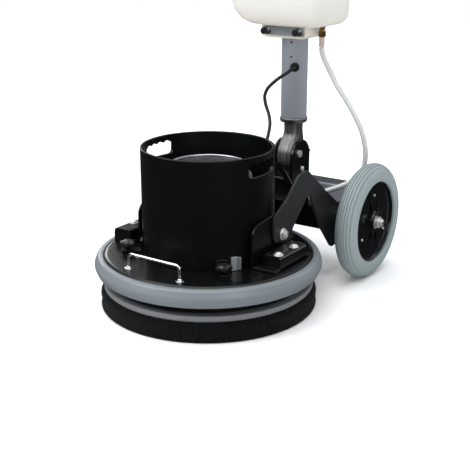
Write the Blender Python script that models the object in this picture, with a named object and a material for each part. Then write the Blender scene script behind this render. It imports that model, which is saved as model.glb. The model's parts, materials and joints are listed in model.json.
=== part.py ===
"""High speed burnisher: a round floor head with its motor in an open sleeve, a wheeled
chassis that carries it on two pivot bolts, and a tilting column with tank and handle.

Metres, +Z up. The origin is the centre of the pad's working face on the floor. The column
and the wheels are at +Y, the operator's side, and +X is the right-hand side from there.
"""

from math import acos, atan2, cos, pi, radians, sin, sqrt

import bmesh
import bpy
from mathutils import Matrix, Vector

# ------------------------------------------------------------------ driving dimensions
GAP = 0.0003                 # running or resting gap between neighbours

# floor head
PAD_R, PAD_TOP = 0.216, 0.0382
DRIVER_R, DRIVER_TOP = 0.209, 0.0512
DECK_R, DECK_TOP, DECK_BASE, DECK_FALL = 0.2080, 0.1076, 0.0704, 0.0034
SKIRT_R, SKIRT_BASE = 0.198, 0.054
BUMPER_R, BUMPER_TOP, BUMPER_BASE = 0.2255, 0.1052, 0.0694
SLEEVE_R, SLEEVE_WALL, SLEEVE_TOP = 0.130, 0.006, 0.3185
HAND_HOLE_HALF, HAND_HOLE_BASE, HAND_HOLE_TOP = 0.042, 0.2785, 0.3038
PULL_X, PULL_Y, PULL_TOP, PULL_ROD = 0.060, -0.1725, 0.1365, 0.0030

# motor, on the pad's axis
SHAFT_R = 0.010
FRAME_R, FRAME_WALL, FRAME_TOP = 0.0775, 0.0035, 0.2815
FLANGE_TOP, BELL_BASE = 0.130, 0.243

# chassis
FLOAT_Y, FLOAT_Z, FLOAT_PIN = 0.046, 0.153, 0.006       # deck_float axis
LUG_X, PLATE_T = 0.1335, 0.005                          # bracket lug, then side plate
PLATE_X = LUG_X + PLATE_T + GAP
BOX_X, BOX_TOP = 0.147, 0.136
BRACKET_OUT, BRACKET_END = {"left": 0.190, "right": 0.186}, {"left": 0.078, "right": 0.068}
PANEL_Y, PANEL_BASE, PANEL_TOP, SHEET = 0.199, 0.121, 0.168, 0.004
TILT_Y, TILT_Z, TILT_PIN = 0.300, 0.245, 0.008          # handle_tilt axis
CHEEK_X, CHEEK_T = 0.0200, 0.006

# wheels
AXLE_Y, AXLE_Z, AXLE_R = 0.305, 0.1225, 0.010
WHEEL_X, WHEEL_R, TYRE_HALF, TYRE_IN = 0.197, 0.1225, 0.0245, 0.083
HUB_HALF = 0.0225

# column
COLUMN_Y, TUBE_R, TUBE_WALL = 0.320, 0.0281, 0.003
STEM_R, STEM_TOP, COLLAR_R = 0.0216, 0.3020, 0.0305
COLLAR_BASE, COLLAR_TOP, TUBE_TOP = 0.3108, 0.3208, 1.045
BOSS_R = 0.032
GROMMET_Z, GROMMET_R, GROMMET_TURN = 0.432, 0.0100, radians(31.5)
OUTWARD = (sin(GROMMET_TURN), -cos(GROMMET_TURN), 0)     # the way the motor's lead leaves the tube

# tank
TANK_Y, TANK_LEFT, TANK_RIGHT, TANK_L, TANK_R = 0.298, 0.1195, 0.1145, 0.077, 0.045
TANK_BASE, TANK_TOP, TANK_WALL = 0.522, 0.880, 0.004
SADDLE_LEFT, SADDLE_RIGHT, SADDLE_FRONT, SADDLE_REAR, SADDLE_BASE = 0.056, 0.0535, 0.2735, 0.352, 0.4935
STRAP_W, STRAP_H, STRAP_Z, KNOB_X = 0.049, 0.0085, 0.5085, 0.038
CAP_X, CAP_Y, NECK_R, MOUTH_R, NECK_TOP = 0.062, 0.270, 0.030, 0.0255, 0.900
OUTLET_X, OUTLET_Y, OUTLET_Z = 0.066, 0.318, 0.476

# handle head
HEAD_W, HEAD_Y0, HEAD_Y1, HEAD_Z0, HEAD_Z1 = 0.070, 0.284, 0.392, 1.035, 1.135
GRIP_Y, GRIP_Z, GRIP_R, GRIP_END = 0.362, 1.100, 0.0165, 0.215
TRIGGER_Y, TRIGGER_Z = 0.312, 1.072
LEVER_Y, LEVER_Z = 0.376, 1.016

# free leads, through the points that settle their run
LEAD_D, HOSE_D = 0.0072, 0.0110
LEAD_CLIP_Y, HOSE_CLIP_X, HOSE_CLIP_Z = 0.186, 0.098, 0.176
GLAND_Z, GLAND_END = 0.135, 0.1550
INLET_Y, INLET_TOP = 0.1475, 0.1283
LEAD_UPPER = [
    (0.0180, 0.2907, GROMMET_Z), (0.0184, 0.2805, 0.4300), (0.0090, 0.2690, 0.4215),
    (-0.0030, 0.2620, 0.4120), (-0.0140, 0.2555, 0.4015), (-0.0240, 0.2500, 0.3890),
    (-0.0280, 0.2460, 0.3740), (-0.0235, 0.2430, 0.3570), (-0.0130, 0.2380, 0.3400),
    (-0.0035, 0.2290, 0.3210), (0.0, 0.2170, 0.2985),
    (-0.0020, 0.2050, 0.2700), (-0.0020, 0.1930, 0.2350), (0.0, 0.1865, 0.2050), (0.0, LEAD_CLIP_Y, 0.1803),
]
HOSE_UPPER = [
    (OUTLET_X, OUTLET_Y, OUTLET_Z - 0.0016), (0.0672, 0.3188, 0.4640), (0.0738, 0.3200, 0.4470),
    (0.0865, 0.3205, 0.4260), (0.1050, 0.3215, 0.3960), (0.1250, 0.3250, 0.3680),
    (0.1450, 0.3310, 0.3340), (0.1580, 0.3370, 0.3030), (0.1640, 0.3440, 0.2680),
    (0.1635, 0.3470, 0.2380), (0.1575, 0.3440, 0.2130), (0.1430, 0.3330, 0.1950),
    (0.1230, 0.3120, 0.1830), (0.1080, 0.2860, 0.1780), (0.1000, 0.2550, 0.1760),
    (HOSE_CLIP_X, 0.2300, HOSE_CLIP_Z), (HOSE_CLIP_X, 0.2070, HOSE_CLIP_Z),
]
LEAD_BEND, HOSE_BEND = 0.028, 0.044

SIDES = (("left", -1), ("right", 1))


# ------------------------------------------------------------------ making and finishing
for old in list(bpy.data.objects):
    bpy.data.objects.remove(old, do_unlink=True)


def material(name, colour, roughness, metallic=0.0):
    made = bpy.data.materials.new(name)
    made.use_nodes = True
    shader = made.node_tree.nodes["Principled BSDF"]
    shader.inputs["Base Color"].default_value = (*colour, 1.0)
    shader.inputs["Roughness"].default_value = roughness
    shader.inputs["Metallic"].default_value = metallic
    return made


BLACK_PAINT = material("black_paint", (0.012, 0.013, 0.014), 0.30)
GREY_PAINT = material("grey_paint", (0.33, 0.35, 0.39), 0.38)
GREY_RUBBER = material("grey_rubber", (0.27, 0.29, 0.32), 0.45)
TYRE_RUBBER = material("tyre_rubber", (0.36, 0.40, 0.42), 0.60)
PAD_FIBRE = material("pad_fibre", (0.015, 0.015, 0.016), 0.95)
DRIVER_GREY = material("driver_grey", (0.20, 0.20, 0.21), 0.50)
CHROME = material("chrome", (0.80, 0.80, 0.82), 0.08, 1.0)
ZINC = material("zinc", (0.62, 0.64, 0.66), 0.32, 1.0)
STEEL = material("steel", (0.55, 0.55, 0.56), 0.30, 1.0)
ALUMINIUM = material("aluminium", (0.42, 0.42, 0.43), 0.42, 1.0)
COPPER = material("copper", (0.70, 0.32, 0.16), 0.35, 1.0)
BRASS = material("brass", (0.62, 0.42, 0.17), 0.32, 1.0)
BLACK_PLASTIC = material("black_plastic", (0.018, 0.018, 0.019), 0.45)
BLACK_RUBBER = material("black_rubber", (0.016, 0.016, 0.016), 0.65)
WHITE_TANK = material("white_tank", (0.86, 0.86, 0.83), 0.38)
CLEAR_HOSE = material("clear_hose", (0.80, 0.79, 0.75), 0.25)
RED_PLASTIC = material("red_plastic", (0.55, 0.03, 0.03), 0.35)


def mesh_object(name, form, finish=None):
    """An object from a bmesh; without a finish it is a cutter or a lump to join."""
    bmesh.ops.recalc_face_normals(form, faces=form.faces)
    mesh = bpy.data.meshes.new(name)
    form.to_mesh(mesh)
    form.free()
    mesh.shade_smooth()
    mesh.set_sharp_from_angle(angle=0.6)
    piece = bpy.data.objects.new(name, mesh)
    bpy.context.scene.collection.objects.link(piece)
    if finish:
        mesh.materials.append(finish)
    else:
        piece.hide_render = True
        piece.display_type = "WIRE"
    return piece


def place(form, axis, at):
    """Turn a form that was made along Z onto an axis, then move it."""
    turn = Vector((0, 0, 1)).rotation_difference(Vector(axis)).to_matrix().to_4x4()
    form.transform(Matrix.Translation(Vector(at)) @ turn)


def turned(name, profile, finish=None, at=(0, 0, 0), axis=(0, 0, 1), sides=24):
    """A solid of revolution from a closed (radius, height) profile."""
    form = bmesh.new()
    rings = []
    for radius, height in profile:
        if radius == 0:
            rings.append([form.verts.new((0, 0, height))] * sides)
        else:
            turns = (2 * pi * k / sides for k in range(sides))
            rings.append([form.verts.new((radius * cos(t), radius * sin(t), height)) for t in turns])
    for lower, upper in zip(rings, rings[1:] + rings[:1]):
        for k in range(sides):
            n = (k + 1) % sides
            corners = list(dict.fromkeys((lower[k], lower[n], upper[n], upper[k])))
            if len(corners) > 2:
                form.faces.new(corners)
    place(form, axis, at)
    return mesh_object(name, form, finish)


def disc(name, radius, low, high, finish=None, at=(0, 0, 0), axis=(0, 0, 1), sides=24):
    return turned(name, [(0, low), (radius, low), (radius, high), (0, high)], finish, at, axis, sides)


def ring(name, inner, outer, low, high, finish=None, at=(0, 0, 0), axis=(0, 0, 1), sides=24):
    return turned(name, [(inner, low), (outer, low), (outer, high), (inner, high)], finish, at, axis, sides)


def rounded(corners, steps=3):
    """An outline whose corners, given as (u, v) or (u, v, radius), are arcs."""
    points = []
    count = len(corners)
    for i, corner in enumerate(corners):
        here = Vector(corner[:2])
        radius = corner[2] if len(corner) > 2 else 0
        before = (Vector(corners[i - 1][:2]) - here).normalized()
        after = (Vector(corners[(i + 1) % count][:2]) - here).normalized()
        if radius == 0:
            points.append(tuple(here))
            continue
        half = acos(max(-1, min(1, before.dot(after)))) / 2
        reach = radius * cos(half) / sin(half)
        centre = here + (before + after).normalized() * radius / sin(half)
        first, last = here + before * reach - centre, here + after * reach - centre
        start = atan2(first.y, first.x)
        sweep = (atan2(last.y, last.x) - start + pi) % (2 * pi) - pi
        for s in range(steps + 1):
            t = start + sweep * s / steps
            points.append((centre.x + radius * cos(t), centre.y + radius * sin(t)))
    return points


def extruded(name, outline, low, high, plane="xy", finish=None):
    """A prism: the outline lies in the named plane and runs from low to high across it."""
    spread = {
        "xy": lambda u, v, w: (u, v, w),
        "yz": lambda u, v, w: (w, u, v),
        "xz": lambda u, v, w: (u, w, v),
    }[plane]
    form = bmesh.new()
    lower = [form.verts.new(spread(u, v, low)) for u, v in outline]
    upper = [form.verts.new(spread(u, v, high)) for u, v in outline]
    form.faces.new(lower)
    form.faces.new(upper)
    for k in range(len(outline)):
        n = (k + 1) % len(outline)
        form.faces.new((lower[k], lower[n], upper[n], upper[k]))
    return mesh_object(name, form, finish)


def block(name, low, high, finish=None, edge=0.0):
    """A box from corner to corner, its edges rounded if an edge radius is given."""
    form = bmesh.new()
    size = [b - a for a, b in zip(low, high)]
    centre = [(a + b) / 2 for a, b in zip(low, high)]
    bmesh.ops.create_cube(form, size=1)
    bmesh.ops.scale(form, vec=size, verts=form.verts)
    bmesh.ops.translate(form, vec=centre, verts=form.verts)
    if edge:
        bmesh.ops.bevel(form, geom=form.edges[:], offset=edge, segments=2, profile=0.5, affect="EDGES")
    return mesh_object(name, form, finish)


def rod(name, points, radius, finish, resolution=3):
    """A round bar or lead along a path, its ends capped."""
    curve = bpy.data.curves.new(name, "CURVE")
    curve.dimensions = "3D"
    curve.bevel_depth = radius
    curve.bevel_resolution = resolution
    curve.use_fill_caps = True
    curve.materials.append(finish)
    line = curve.splines.new("POLY")
    line.points.add(len(points) - 1)
    for point, at in zip(line.points, points):
        point.co = (*at, 1)
    line.use_smooth = True
    piece = bpy.data.objects.new(name, curve)
    bpy.context.scene.collection.objects.link(piece)
    return piece


def smooth_route(route, spacing):
    """Evenly spaced points on a smooth curve through the route's own points."""
    knots = [Vector(p) for p in route]
    knots = [knots[0] * 2 - knots[1]] + knots + [knots[-1] * 2 - knots[-2]]
    fine = []
    for a, b, c, d in zip(knots, knots[1:], knots[2:], knots[3:]):
        for s in range(24):
            t = s / 24
            fine.append(0.5 * (2 * b + (c - a) * t + (2 * a - 5 * b + 4 * c - d) * t ** 2
                               + (3 * b - a - 3 * c + d) * t ** 3))
    fine.append(knots[-2])
    run = [0.0]
    for a, b in zip(fine, fine[1:]):
        run.append(run[-1] + (b - a).length)
    count = max(2, round(run[-1] / spacing))
    points = []
    for k in range(count + 1):
        want = run[-1] * k / count
        i = max(j for j in range(len(run) - 1) if run[j] <= want + 1e-9)
        points.append(fine[i].lerp(fine[i + 1], (want - run[i]) / (run[i + 1] - run[i])))
    return points


def quarter_bend(x, centre, radius, first, last, steps=6):
    """Points of a bend in the plane of constant x, from angle first to last."""
    turns = (first + (last - first) * k / steps for k in range(steps + 1))
    return [(x, centre[0] + radius * cos(t), centre[1] + radius * sin(t)) for t in turns]


def joined(piece, *lumps):
    for lump in lumps:
        union = piece.modifiers.new("join", "BOOLEAN")
        union.operation = "UNION"
        union.object = lump
    return piece


def cut(piece, *cutters):
    for cutter in cutters:
        minus = piece.modifiers.new("cut", "BOOLEAN")
        minus.operation = "DIFFERENCE"
        minus.object = cutter
    return piece


def on_pivot(name, at, *pieces):
    """Hang pieces on an empty that stands on their joint's axis."""
    pivot = bpy.data.objects.new(name, None)
    pivot.location = at
    bpy.context.scene.collection.objects.link(pivot)
    for piece in pieces:
        piece.parent = pivot
        piece.matrix_parent_inverse = Matrix.Translation(-Vector(at))


X, Y = (1, 0, 0), (0, 1, 0)


# ------------------------------------------------------------------ floor head
def deck_plate():
    under, bore = 0.0976, 0.040
    turned("deck_plate", [
        (bore, under), (SKIRT_R - 0.006, under), (SKIRT_R - 0.006, SKIRT_BASE), (SKIRT_R, SKIRT_BASE),
        (SKIRT_R, DECK_BASE), (DECK_R, DECK_BASE), (DECK_R, DECK_TOP - DECK_FALL),
        (DECK_R - 0.002, DECK_TOP - 0.0016), (DECK_R - 0.006, DECK_TOP), (bore, DECK_TOP)],
        BLACK_PAINT, sides=48)


def bumper_ring():
    inner = DECK_R + GAP
    profile = rounded([
        (inner, BUMPER_BASE), (BUMPER_R, BUMPER_BASE, 0.0120),
        (BUMPER_R, BUMPER_TOP, 0.0150), (inner, BUMPER_TOP)], 3)
    turned("bumper_ring", profile, GREY_RUBBER, sides=48)


def motor_sleeve():
    sleeve = ring("motor_sleeve", SLEEVE_R - SLEEVE_WALL, SLEEVE_R, DECK_TOP + GAP, SLEEVE_TOP, BLACK_PAINT,
                  sides=48)
    fingers, steps, depth = 4, 4, 0.0035
    top = []
    for k in range(fingers * steps + 1):
        along = HAND_HOLE_HALF - 0.005 - (2 * HAND_HOLE_HALF - 0.010) * k / (fingers * steps)
        top.append((along, HAND_HOLE_TOP + depth * abs(sin(pi * k / steps))))
    base = rounded([(-HAND_HOLE_HALF, HAND_HOLE_TOP), (-HAND_HOLE_HALF, HAND_HOLE_BASE, 0.009),
                    (HAND_HOLE_HALF, HAND_HOLE_BASE, 0.009), (HAND_HOLE_HALF, HAND_HOLE_TOP)])
    cut(sleeve,
        extruded("hand_hole_cutter", base + top, -0.15, 0.15, "yz"),
        disc("gland_hole_cutter", 0.0083, 0.10, 0.15, at=(0, 0, GLAND_Z), axis=Y, sides=16))


def pull_handle():
    bend, steps = 0.009, 4
    corners = rounded([(-PULL_X, DECK_TOP + GAP), (-PULL_X, PULL_TOP, bend), (PULL_X, PULL_TOP, bend),
                       (PULL_X, DECK_TOP + GAP)], steps)
    rod("pull_handle", [(u, PULL_Y, v) for u, v in corners], PULL_ROD, CHROME)


def bracket(side, sign):
    """A deck bracket: base plate, bolted box and the lug that carries the chassis."""
    front = {"left": -0.065, "right": -0.030}[side]
    low = DECK_TOP + GAP
    base = span(sign, LUG_X, BRACKET_OUT[side], (-0.050, 0.081), (low, low + 0.006))
    body = block("bracket_" + side, *base, BLACK_PAINT)
    box = block("box_" + side, *span(sign, BOX_X, BRACKET_OUT[side], (front, BRACKET_END[side]),
                                     (low + 0.0005, BOX_TOP)), edge=0.006)
    lug = extruded("lug_" + side, rounded([
        (-0.050, low + 0.001), (-0.050, 0.190, 0.024), (0.030, 0.198, 0.040), (0.080, 0.150, 0.020),
        (0.080, low + 0.001)]), *sorted((sign * LUG_X, sign * (LUG_X + PLATE_T))), "yz")
    hole = disc("lug_hole_" + side, FLOAT_PIN + GAP, *sorted((sign * 0.12, sign * 0.16)),
                at=(0, FLOAT_Y, FLOAT_Z), axis=X, sides=16)
    cut(joined(body, box, lug), hole)


def span(sign, near, far, along, up):
    """The two corners of a box on one side of the machine."""
    x = sorted((sign * near, sign * far))
    return (x[0], along[0], up[0]), (x[1], along[1], up[1])


def pivot_bolt(side, sign):
    """The bolt that a side plate turns on, with its head outside and a nut within."""
    head = PLATE_X + PLATE_T + GAP
    profile = [(0, LUG_X - 0.0030), (FLOAT_PIN, LUG_X - 0.0030), (FLOAT_PIN, head), (0.0125, head),
               (0.0125, head + 0.0015), (0.0090, head + 0.0020), (0.0085, head + 0.0075), (0, head + 0.0080)]
    turned("pivot_bolt_" + side, [(r, sign * x) for r, x in profile], STEEL, (0, FLOAT_Y, FLOAT_Z), X, 16)


def water_inlet():
    turned("water_inlet", [(0, DECK_TOP + GAP), (0.010, DECK_TOP + GAP), (0.010, 0.115), (0.0062, 0.117),
                           (0.0062, INLET_TOP), (0, INLET_TOP)],
           BLACK_PLASTIC, (HOSE_CLIP_X, INLET_Y, 0), sides=12)


# ------------------------------------------------------------------ motor
def motor():
    low = DECK_TOP + GAP
    turned("motor_flange", [
        (0.0115, 0.090), (0.0397, 0.090), (0.0397, low), (FRAME_R, low), (FRAME_R, FLANGE_TOP),
        (0.0203, FLANGE_TOP), (0.0203, 0.1117), (0.0115, 0.1117)], ALUMINIUM, sides=24)
    ring("bearing_drive_end", SHAFT_R + GAP, 0.0200, 0.1120, 0.1265, STEEL)
    ring("motor_frame", FRAME_R - FRAME_WALL, FRAME_R, FLANGE_TOP + GAP, FRAME_TOP, GREY_PAINT, sides=32)
    inside = FRAME_R - FRAME_WALL - GAP
    turned("stator", [
        (0.0450, 0.136), (0.0660, 0.136), (0.0660, 0.152), (inside, 0.152), (inside, 0.220),
        (0.0660, 0.220), (0.0660, 0.236), (0.0450, 0.236), (0.0450, 0.220), (0.0420, 0.220),
        (0.0420, 0.152), (0.0450, 0.152)], COPPER, sides=32)
    turned("motor_end_bell", [
        (0.0115, BELL_BASE), (inside, BELL_BASE), (inside, 0.2560), (0.0178, 0.2560),
        (0.0178, 0.2463), (0.0115, 0.2463)], ALUMINIUM, sides=32)
    ring("bearing_fan_end", SHAFT_R + GAP, 0.0175, 0.2466, 0.2556, STEEL)
    cover = turned("fan_cover", [
        (inside - 0.002, 0.2563), (inside, 0.2563), (inside, 0.2790), (inside - 0.002, 0.2810),
        (0, 0.2810), (0, 0.2785), (inside - 0.002, 0.2785)], BLACK_PLASTIC, sides=32)
    count, arms = 10, []
    for k in range(count):
        turn = 2 * pi * (k + 0.5) / count
        slot = block(f"vent_cutter_{k}", (0.022, -0.005, 0.27), (0.062, 0.005, 0.29))
        slot.rotation_euler.z = turn
        arms.append(slot)
    cut(cover, *arms)
    block("terminal_box", (-0.026, FRAME_R + GAP, 0.112), (0.026, 0.1165, 0.172), BLACK_PLASTIC, 0.002)
    turned("lead_gland", [
        (0, 0.1170), (0.0080, 0.1170), (0.0080, SLEEVE_R + GAP), (0.0120, SLEEVE_R + GAP), (0.0120, 0.1385),
        (0.0075, 0.1405), (0.0042, GLAND_END), (0, GLAND_END)], BLACK_RUBBER, (0, 0, GLAND_Z), Y, 16)


def rotor():
    shaft = disc("rotor_shaft", SHAFT_R, 0.0520, 0.2745, STEEL)
    core = ring("rotor_core", SHAFT_R + GAP, 0.0412, 0.152, 0.220, STEEL, sides=24)
    blades, hub, tip, half = 8, 0.018, 0.062, 0.0014
    outline = []
    for k in range(blades):
        t = 2 * pi * k / blades
        ahead, across = Vector((cos(t), sin(t))), Vector((-sin(t), cos(t)))
        root = sqrt(hub ** 2 - half ** 2)
        for reach, offset in ((root, -half), (tip, -half), (tip, half), (root, half)):
            outline.append(tuple(ahead * reach + across * offset))
    fan = cut(extruded("cooling_fan", outline, 0.2590, 0.2740, "xy", BLACK_PLASTIC),
              disc("fan_bore_cutter", SHAFT_R + GAP, 0.25, 0.28))
    driver = turned("pad_driver", [
        (0, PAD_TOP + GAP), (0.205, PAD_TOP + GAP), (0.205, 0.0412), (DRIVER_R, 0.0412),
        (DRIVER_R, DRIVER_TOP),
        (0.0500, DRIVER_TOP), (0.0500, 0.0600), (0.0280, 0.0640), (0.0240, 0.0860),
        (SHAFT_R + GAP, 0.0860), (SHAFT_R + GAP, 0.0515), (0, 0.0515)], DRIVER_GREY, sides=48)
    pad = turned("floor_pad", [(0, 0), (PAD_R - 0.002, 0), (PAD_R, 0.003), (PAD_R, PAD_TOP - 0.006),
                               (PAD_R - 0.006, PAD_TOP), (0, PAD_TOP)], PAD_FIBRE, sides=48)
    on_pivot("rotor_axis", (0, 0, 0), shaft, core, fan, driver, pad)


# ------------------------------------------------------------------ chassis
def side_plate(side, sign):
    """The wishbone plate from the deck's pivot bolt over to the axle."""
    outline = rounded([
        (0.017, 0.142, 0.010), (0.014, 0.193, 0.020), (0.062, 0.219, 0.060), (0.106, 0.257, 0.020),
        (0.137, 0.262, 0.020), (0.214, 0.201, 0.040), (0.268, 0.162, 0.030), (0.335, 0.158, 0.026),
        (0.345, 0.085, 0.030), (0.246, 0.068, 0.016), (0.196, 0.126, 0.030), (0.146, 0.213, 0.008),
        (0.086, 0.156, 0.020), (0.069, 0.132, 0.012)])
    x = sorted((sign * PLATE_X, sign * (PLATE_X + PLATE_T)))
    cut(extruded("side_plate_" + side, outline, *x, "yz", BLACK_PAINT),
        disc("plate_pin_" + side, FLOAT_PIN + GAP, -0.16, 0.16, at=(0, FLOAT_Y, FLOAT_Z), axis=X, sides=16),
        disc("plate_axle_" + side, AXLE_R + GAP, -0.16, 0.16, at=(0, AXLE_Y, AXLE_Z), axis=X, sides=16))


def cross_members():
    wide = PLATE_X - GAP
    panel = block("cross_panel", (-wide, PANEL_Y, PANEL_BASE), (wide, PANEL_Y + SHEET, PANEL_TOP),
                  BLACK_PAINT)
    hose_clip = block("hose_clip", (HOSE_CLIP_X - 0.010, 0.1955, PANEL_TOP - 0.004),
                      (HOSE_CLIP_X + 0.010, 0.2067, HOSE_CLIP_Z + 0.010), edge=0.002)
    lead_clip = block("lead_clip", (-0.008, LEAD_CLIP_Y - 0.007, 0.1660), (0.008, PANEL_Y + 0.002, 0.1800),
                      edge=0.002)
    low_lip = block("lead_clip_foot", (-0.006, PANEL_Y - 0.004, 0.150), (0.006, PANEL_Y + 0.002, 0.172))
    joined(panel, hose_clip, lead_clip, low_lip)

    beam = block("cross_beam", (-wide, 0.2360, 0.1280), (wide, 0.2745, 0.1580), BLACK_PAINT)
    web = extruded("beam_web", [(0.2590, 0.2300), (0.2640, 0.2330), (0.3240, 0.1740), (0.3240, 0.1680),
                                (0.2680, 0.1500), (0.2600, 0.1500)], -CHEEK_X + GAP, CHEEK_X - GAP, "yz")
    joined(beam, web)

    extruded("step_plate", [(0.3500, 0.1120), (0.3530, 0.1120), (0.3530, 0.1710), (0.3950, 0.1710),
                            (0.3950, 0.1740), (0.3500, 0.1740)], -wide, wide, "yz", GREY_PAINT)


def cheek(side, sign):
    """One of the two plates between which the column's casting tilts."""
    outline = rounded([
        (0.2750, 0.2000, 0.020), (0.2750, 0.2730, 0.0365), (0.3490, 0.2730, 0.0365), (0.3490, 0.1900, 0.030),
        (0.3350, 0.0960, 0.024), (0.2760, 0.0960, 0.024)])
    x = sorted((sign * CHEEK_X, sign * (CHEEK_X + CHEEK_T)))
    cut(extruded("cheek_" + side, outline, *x, "yz", BLACK_PAINT),
        disc("cheek_pin_" + side, TILT_PIN + GAP, -0.05, 0.05, at=(0, TILT_Y, TILT_Z), axis=X, sides=16),
        disc("cheek_axle_" + side, AXLE_R + GAP, -0.05, 0.05, at=(0, AXLE_Y, AXLE_Z), axis=X, sides=16))


def axle_and_pins():
    disc("axle", AXLE_R, -0.2330, 0.2330, STEEL, (0, AXLE_Y, AXLE_Z), X, 16)
    out = CHEEK_X + CHEEK_T + GAP
    turned("tilt_pin", [
        (0, -out - 0.007), (0.0120, -out - 0.006), (0.0120, -out), (TILT_PIN, -out), (TILT_PIN, out + 0.005),
        (0, out + 0.006)], STEEL, (0, TILT_Y, TILT_Z), X, 16)


def wheel(side, sign):
    centre = (sign * WHEEL_X, AXLE_Y, AXLE_Z)
    crown, shoulder = WHEEL_R, TYRE_HALF
    section = rounded([
        (TYRE_IN, -shoulder + 0.003), (crown, -shoulder, 0.0225), (crown, shoulder, 0.0225),
        (TYRE_IN, shoulder - 0.003)], 3)
    tyre = turned("tyre_" + side, section, TYRE_RUBBER, centre, X, 32)
    felloe = TYRE_IN - GAP
    rim = turned("rim_" + side, [
        (0.0175, -0.0175), (0.0240, -0.0175), (0.0240, -0.0040), (felloe - 0.006, -0.0040),
        (felloe - 0.005, -0.0180), (felloe, -0.0180), (felloe, 0.0180), (felloe - 0.005, 0.0180),
        (felloe - 0.006, 0.0040), (0.0240, 0.0100), (0.0240, HUB_HALF), (0.0175, HUB_HALF)],
        BLACK_PLASTIC, centre, X, 32)
    bearing = ring("bearing_" + side, AXLE_R + GAP, 0.0172, -0.0175, HUB_HALF, STEEL, centre, X)
    turned("axle_nut_" + side, [
        (AXLE_R + GAP, 0.2232), (0.0120, 0.2232), (0.0120, 0.2250), (0.0150, 0.2250), (0.0150, 0.2310),
        (AXLE_R + GAP, 0.2310)], STEEL, (0, AXLE_Y, AXLE_Z), (sign, 0, 0), 16)
    on_pivot("wheel_axis_" + side, centre, tyre, rim, bearing)


# ------------------------------------------------------------------ column
def column():
    half = CHEEK_X - GAP
    stem = turned("column_casting", [
        (0, 0.2745), (STEM_R + 0.001, 0.2745), (STEM_R, STEM_TOP), (COLLAR_R - 0.002, COLLAR_BASE),
        (COLLAR_R, COLLAR_BASE + 0.001),
        (COLLAR_R, COLLAR_TOP), (TUBE_R - TUBE_WALL - GAP, COLLAR_TOP), (TUBE_R - TUBE_WALL - GAP, 0.3700),
        (0, 0.3700)], ALUMINIUM, (0, COLUMN_Y, 0), sides=24)
    flats = [block("stem_flat_cutter_" + side,
                   *span(sign, half - 0.0003, 0.040, (0.280, 0.360), (0.260, STEM_TOP)))
             for side, sign in SIDES]
    boss = disc("boss", BOSS_R, -half, half, at=(0, TILT_Y, TILT_Z), axis=X, sides=24)
    flare = extruded("flare", [
        (TILT_Y - BOSS_R + 0.0002, TILT_Z), (TILT_Y - BOSS_R + 0.004, TILT_Z + 0.016),
        (COLUMN_Y - 0.0195, 0.298), (COLUMN_Y + 0.0195, 0.298), (COLUMN_Y + 0.0170, 0.262),
        (TILT_Y + BOSS_R - 0.0002, TILT_Z)],
        -half, half, "yz")
    cut(joined(cut(stem, *flats), boss, flare),
        disc("tilt_hole_cutter", TILT_PIN + GAP, -0.05, 0.05, at=(0, TILT_Y, TILT_Z), axis=X, sides=16))
    tube = ring("column_tube", TUBE_R - TUBE_WALL, TUBE_R, COLLAR_TOP + GAP, TUBE_TOP, GREY_PAINT,
                (0, COLUMN_Y, 0), sides=24)
    at = (0, COLUMN_Y, GROMMET_Z)
    cut(tube, disc("lead_hole_cutter", 0.0080, 0.015, 0.045, at=at, axis=OUTWARD, sides=16))
    face = TUBE_R + GAP
    turned("cord_grommet", [
        (0, face + 0.0022), (0.0080, face + 0.0022), (GROMMET_R, face + 0.0012), (GROMMET_R, face),
        (0.0077, face), (0.0077, face - 0.005), (0, face - 0.005)], BLACK_RUBBER, at, OUTWARD, 16)


def rounded_column(left, right, half_l, radius, steps=4):
    """A rounded rectangle as an outline in plan, its sides that far left and right of the column."""
    return rounded([
        (-left, TANK_Y - half_l, radius), (right, TANK_Y - half_l, radius),
        (right, TANK_Y + half_l, radius), (-left, TANK_Y + half_l, radius)], steps)


def tank_form(name, inset, finish=None):
    """The tank's outer form, or its inner one if inset: rings that close in towards both ends."""
    form = bmesh.new()
    levels = []
    for left_bend, right_bend, rise in ((0.068, 0.024, 0.0), (0.042, 0.011, 0.004), (0.021, 0.002, 0.016),
                                        (0.007, 0.0, 0.036), (0.0, 0.0, 0.070)):
        levels.append((left_bend, right_bend, TANK_BASE + inset + rise))
    for bend, drop in ((0.0, 0.070), (0.003, 0.036), (0.013, 0.014), (0.030, 0.003), (0.050, 0.0)):
        levels.append((bend, bend, TANK_TOP - inset - drop))
    rings = []
    for left_bend, right_bend, z in levels:
        reach = inset + (left_bend + right_bend) * 0.25
        outline = rounded_column(TANK_LEFT - inset - left_bend, TANK_RIGHT - inset - right_bend,
                                 TANK_L - reach, max(TANK_R - reach, 0.012))
        rings.append([form.verts.new((x, y, z)) for x, y in outline])
    count = len(rings[0])
    for lower, upper in zip(rings, rings[1:]):
        for k in range(count):
            n = (k + 1) % count
            form.faces.new((lower[k], lower[n], upper[n], upper[k]))
    form.faces.new(rings[0])
    form.faces.new(rings[-1])
    return mesh_object(name, form, finish)


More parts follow.
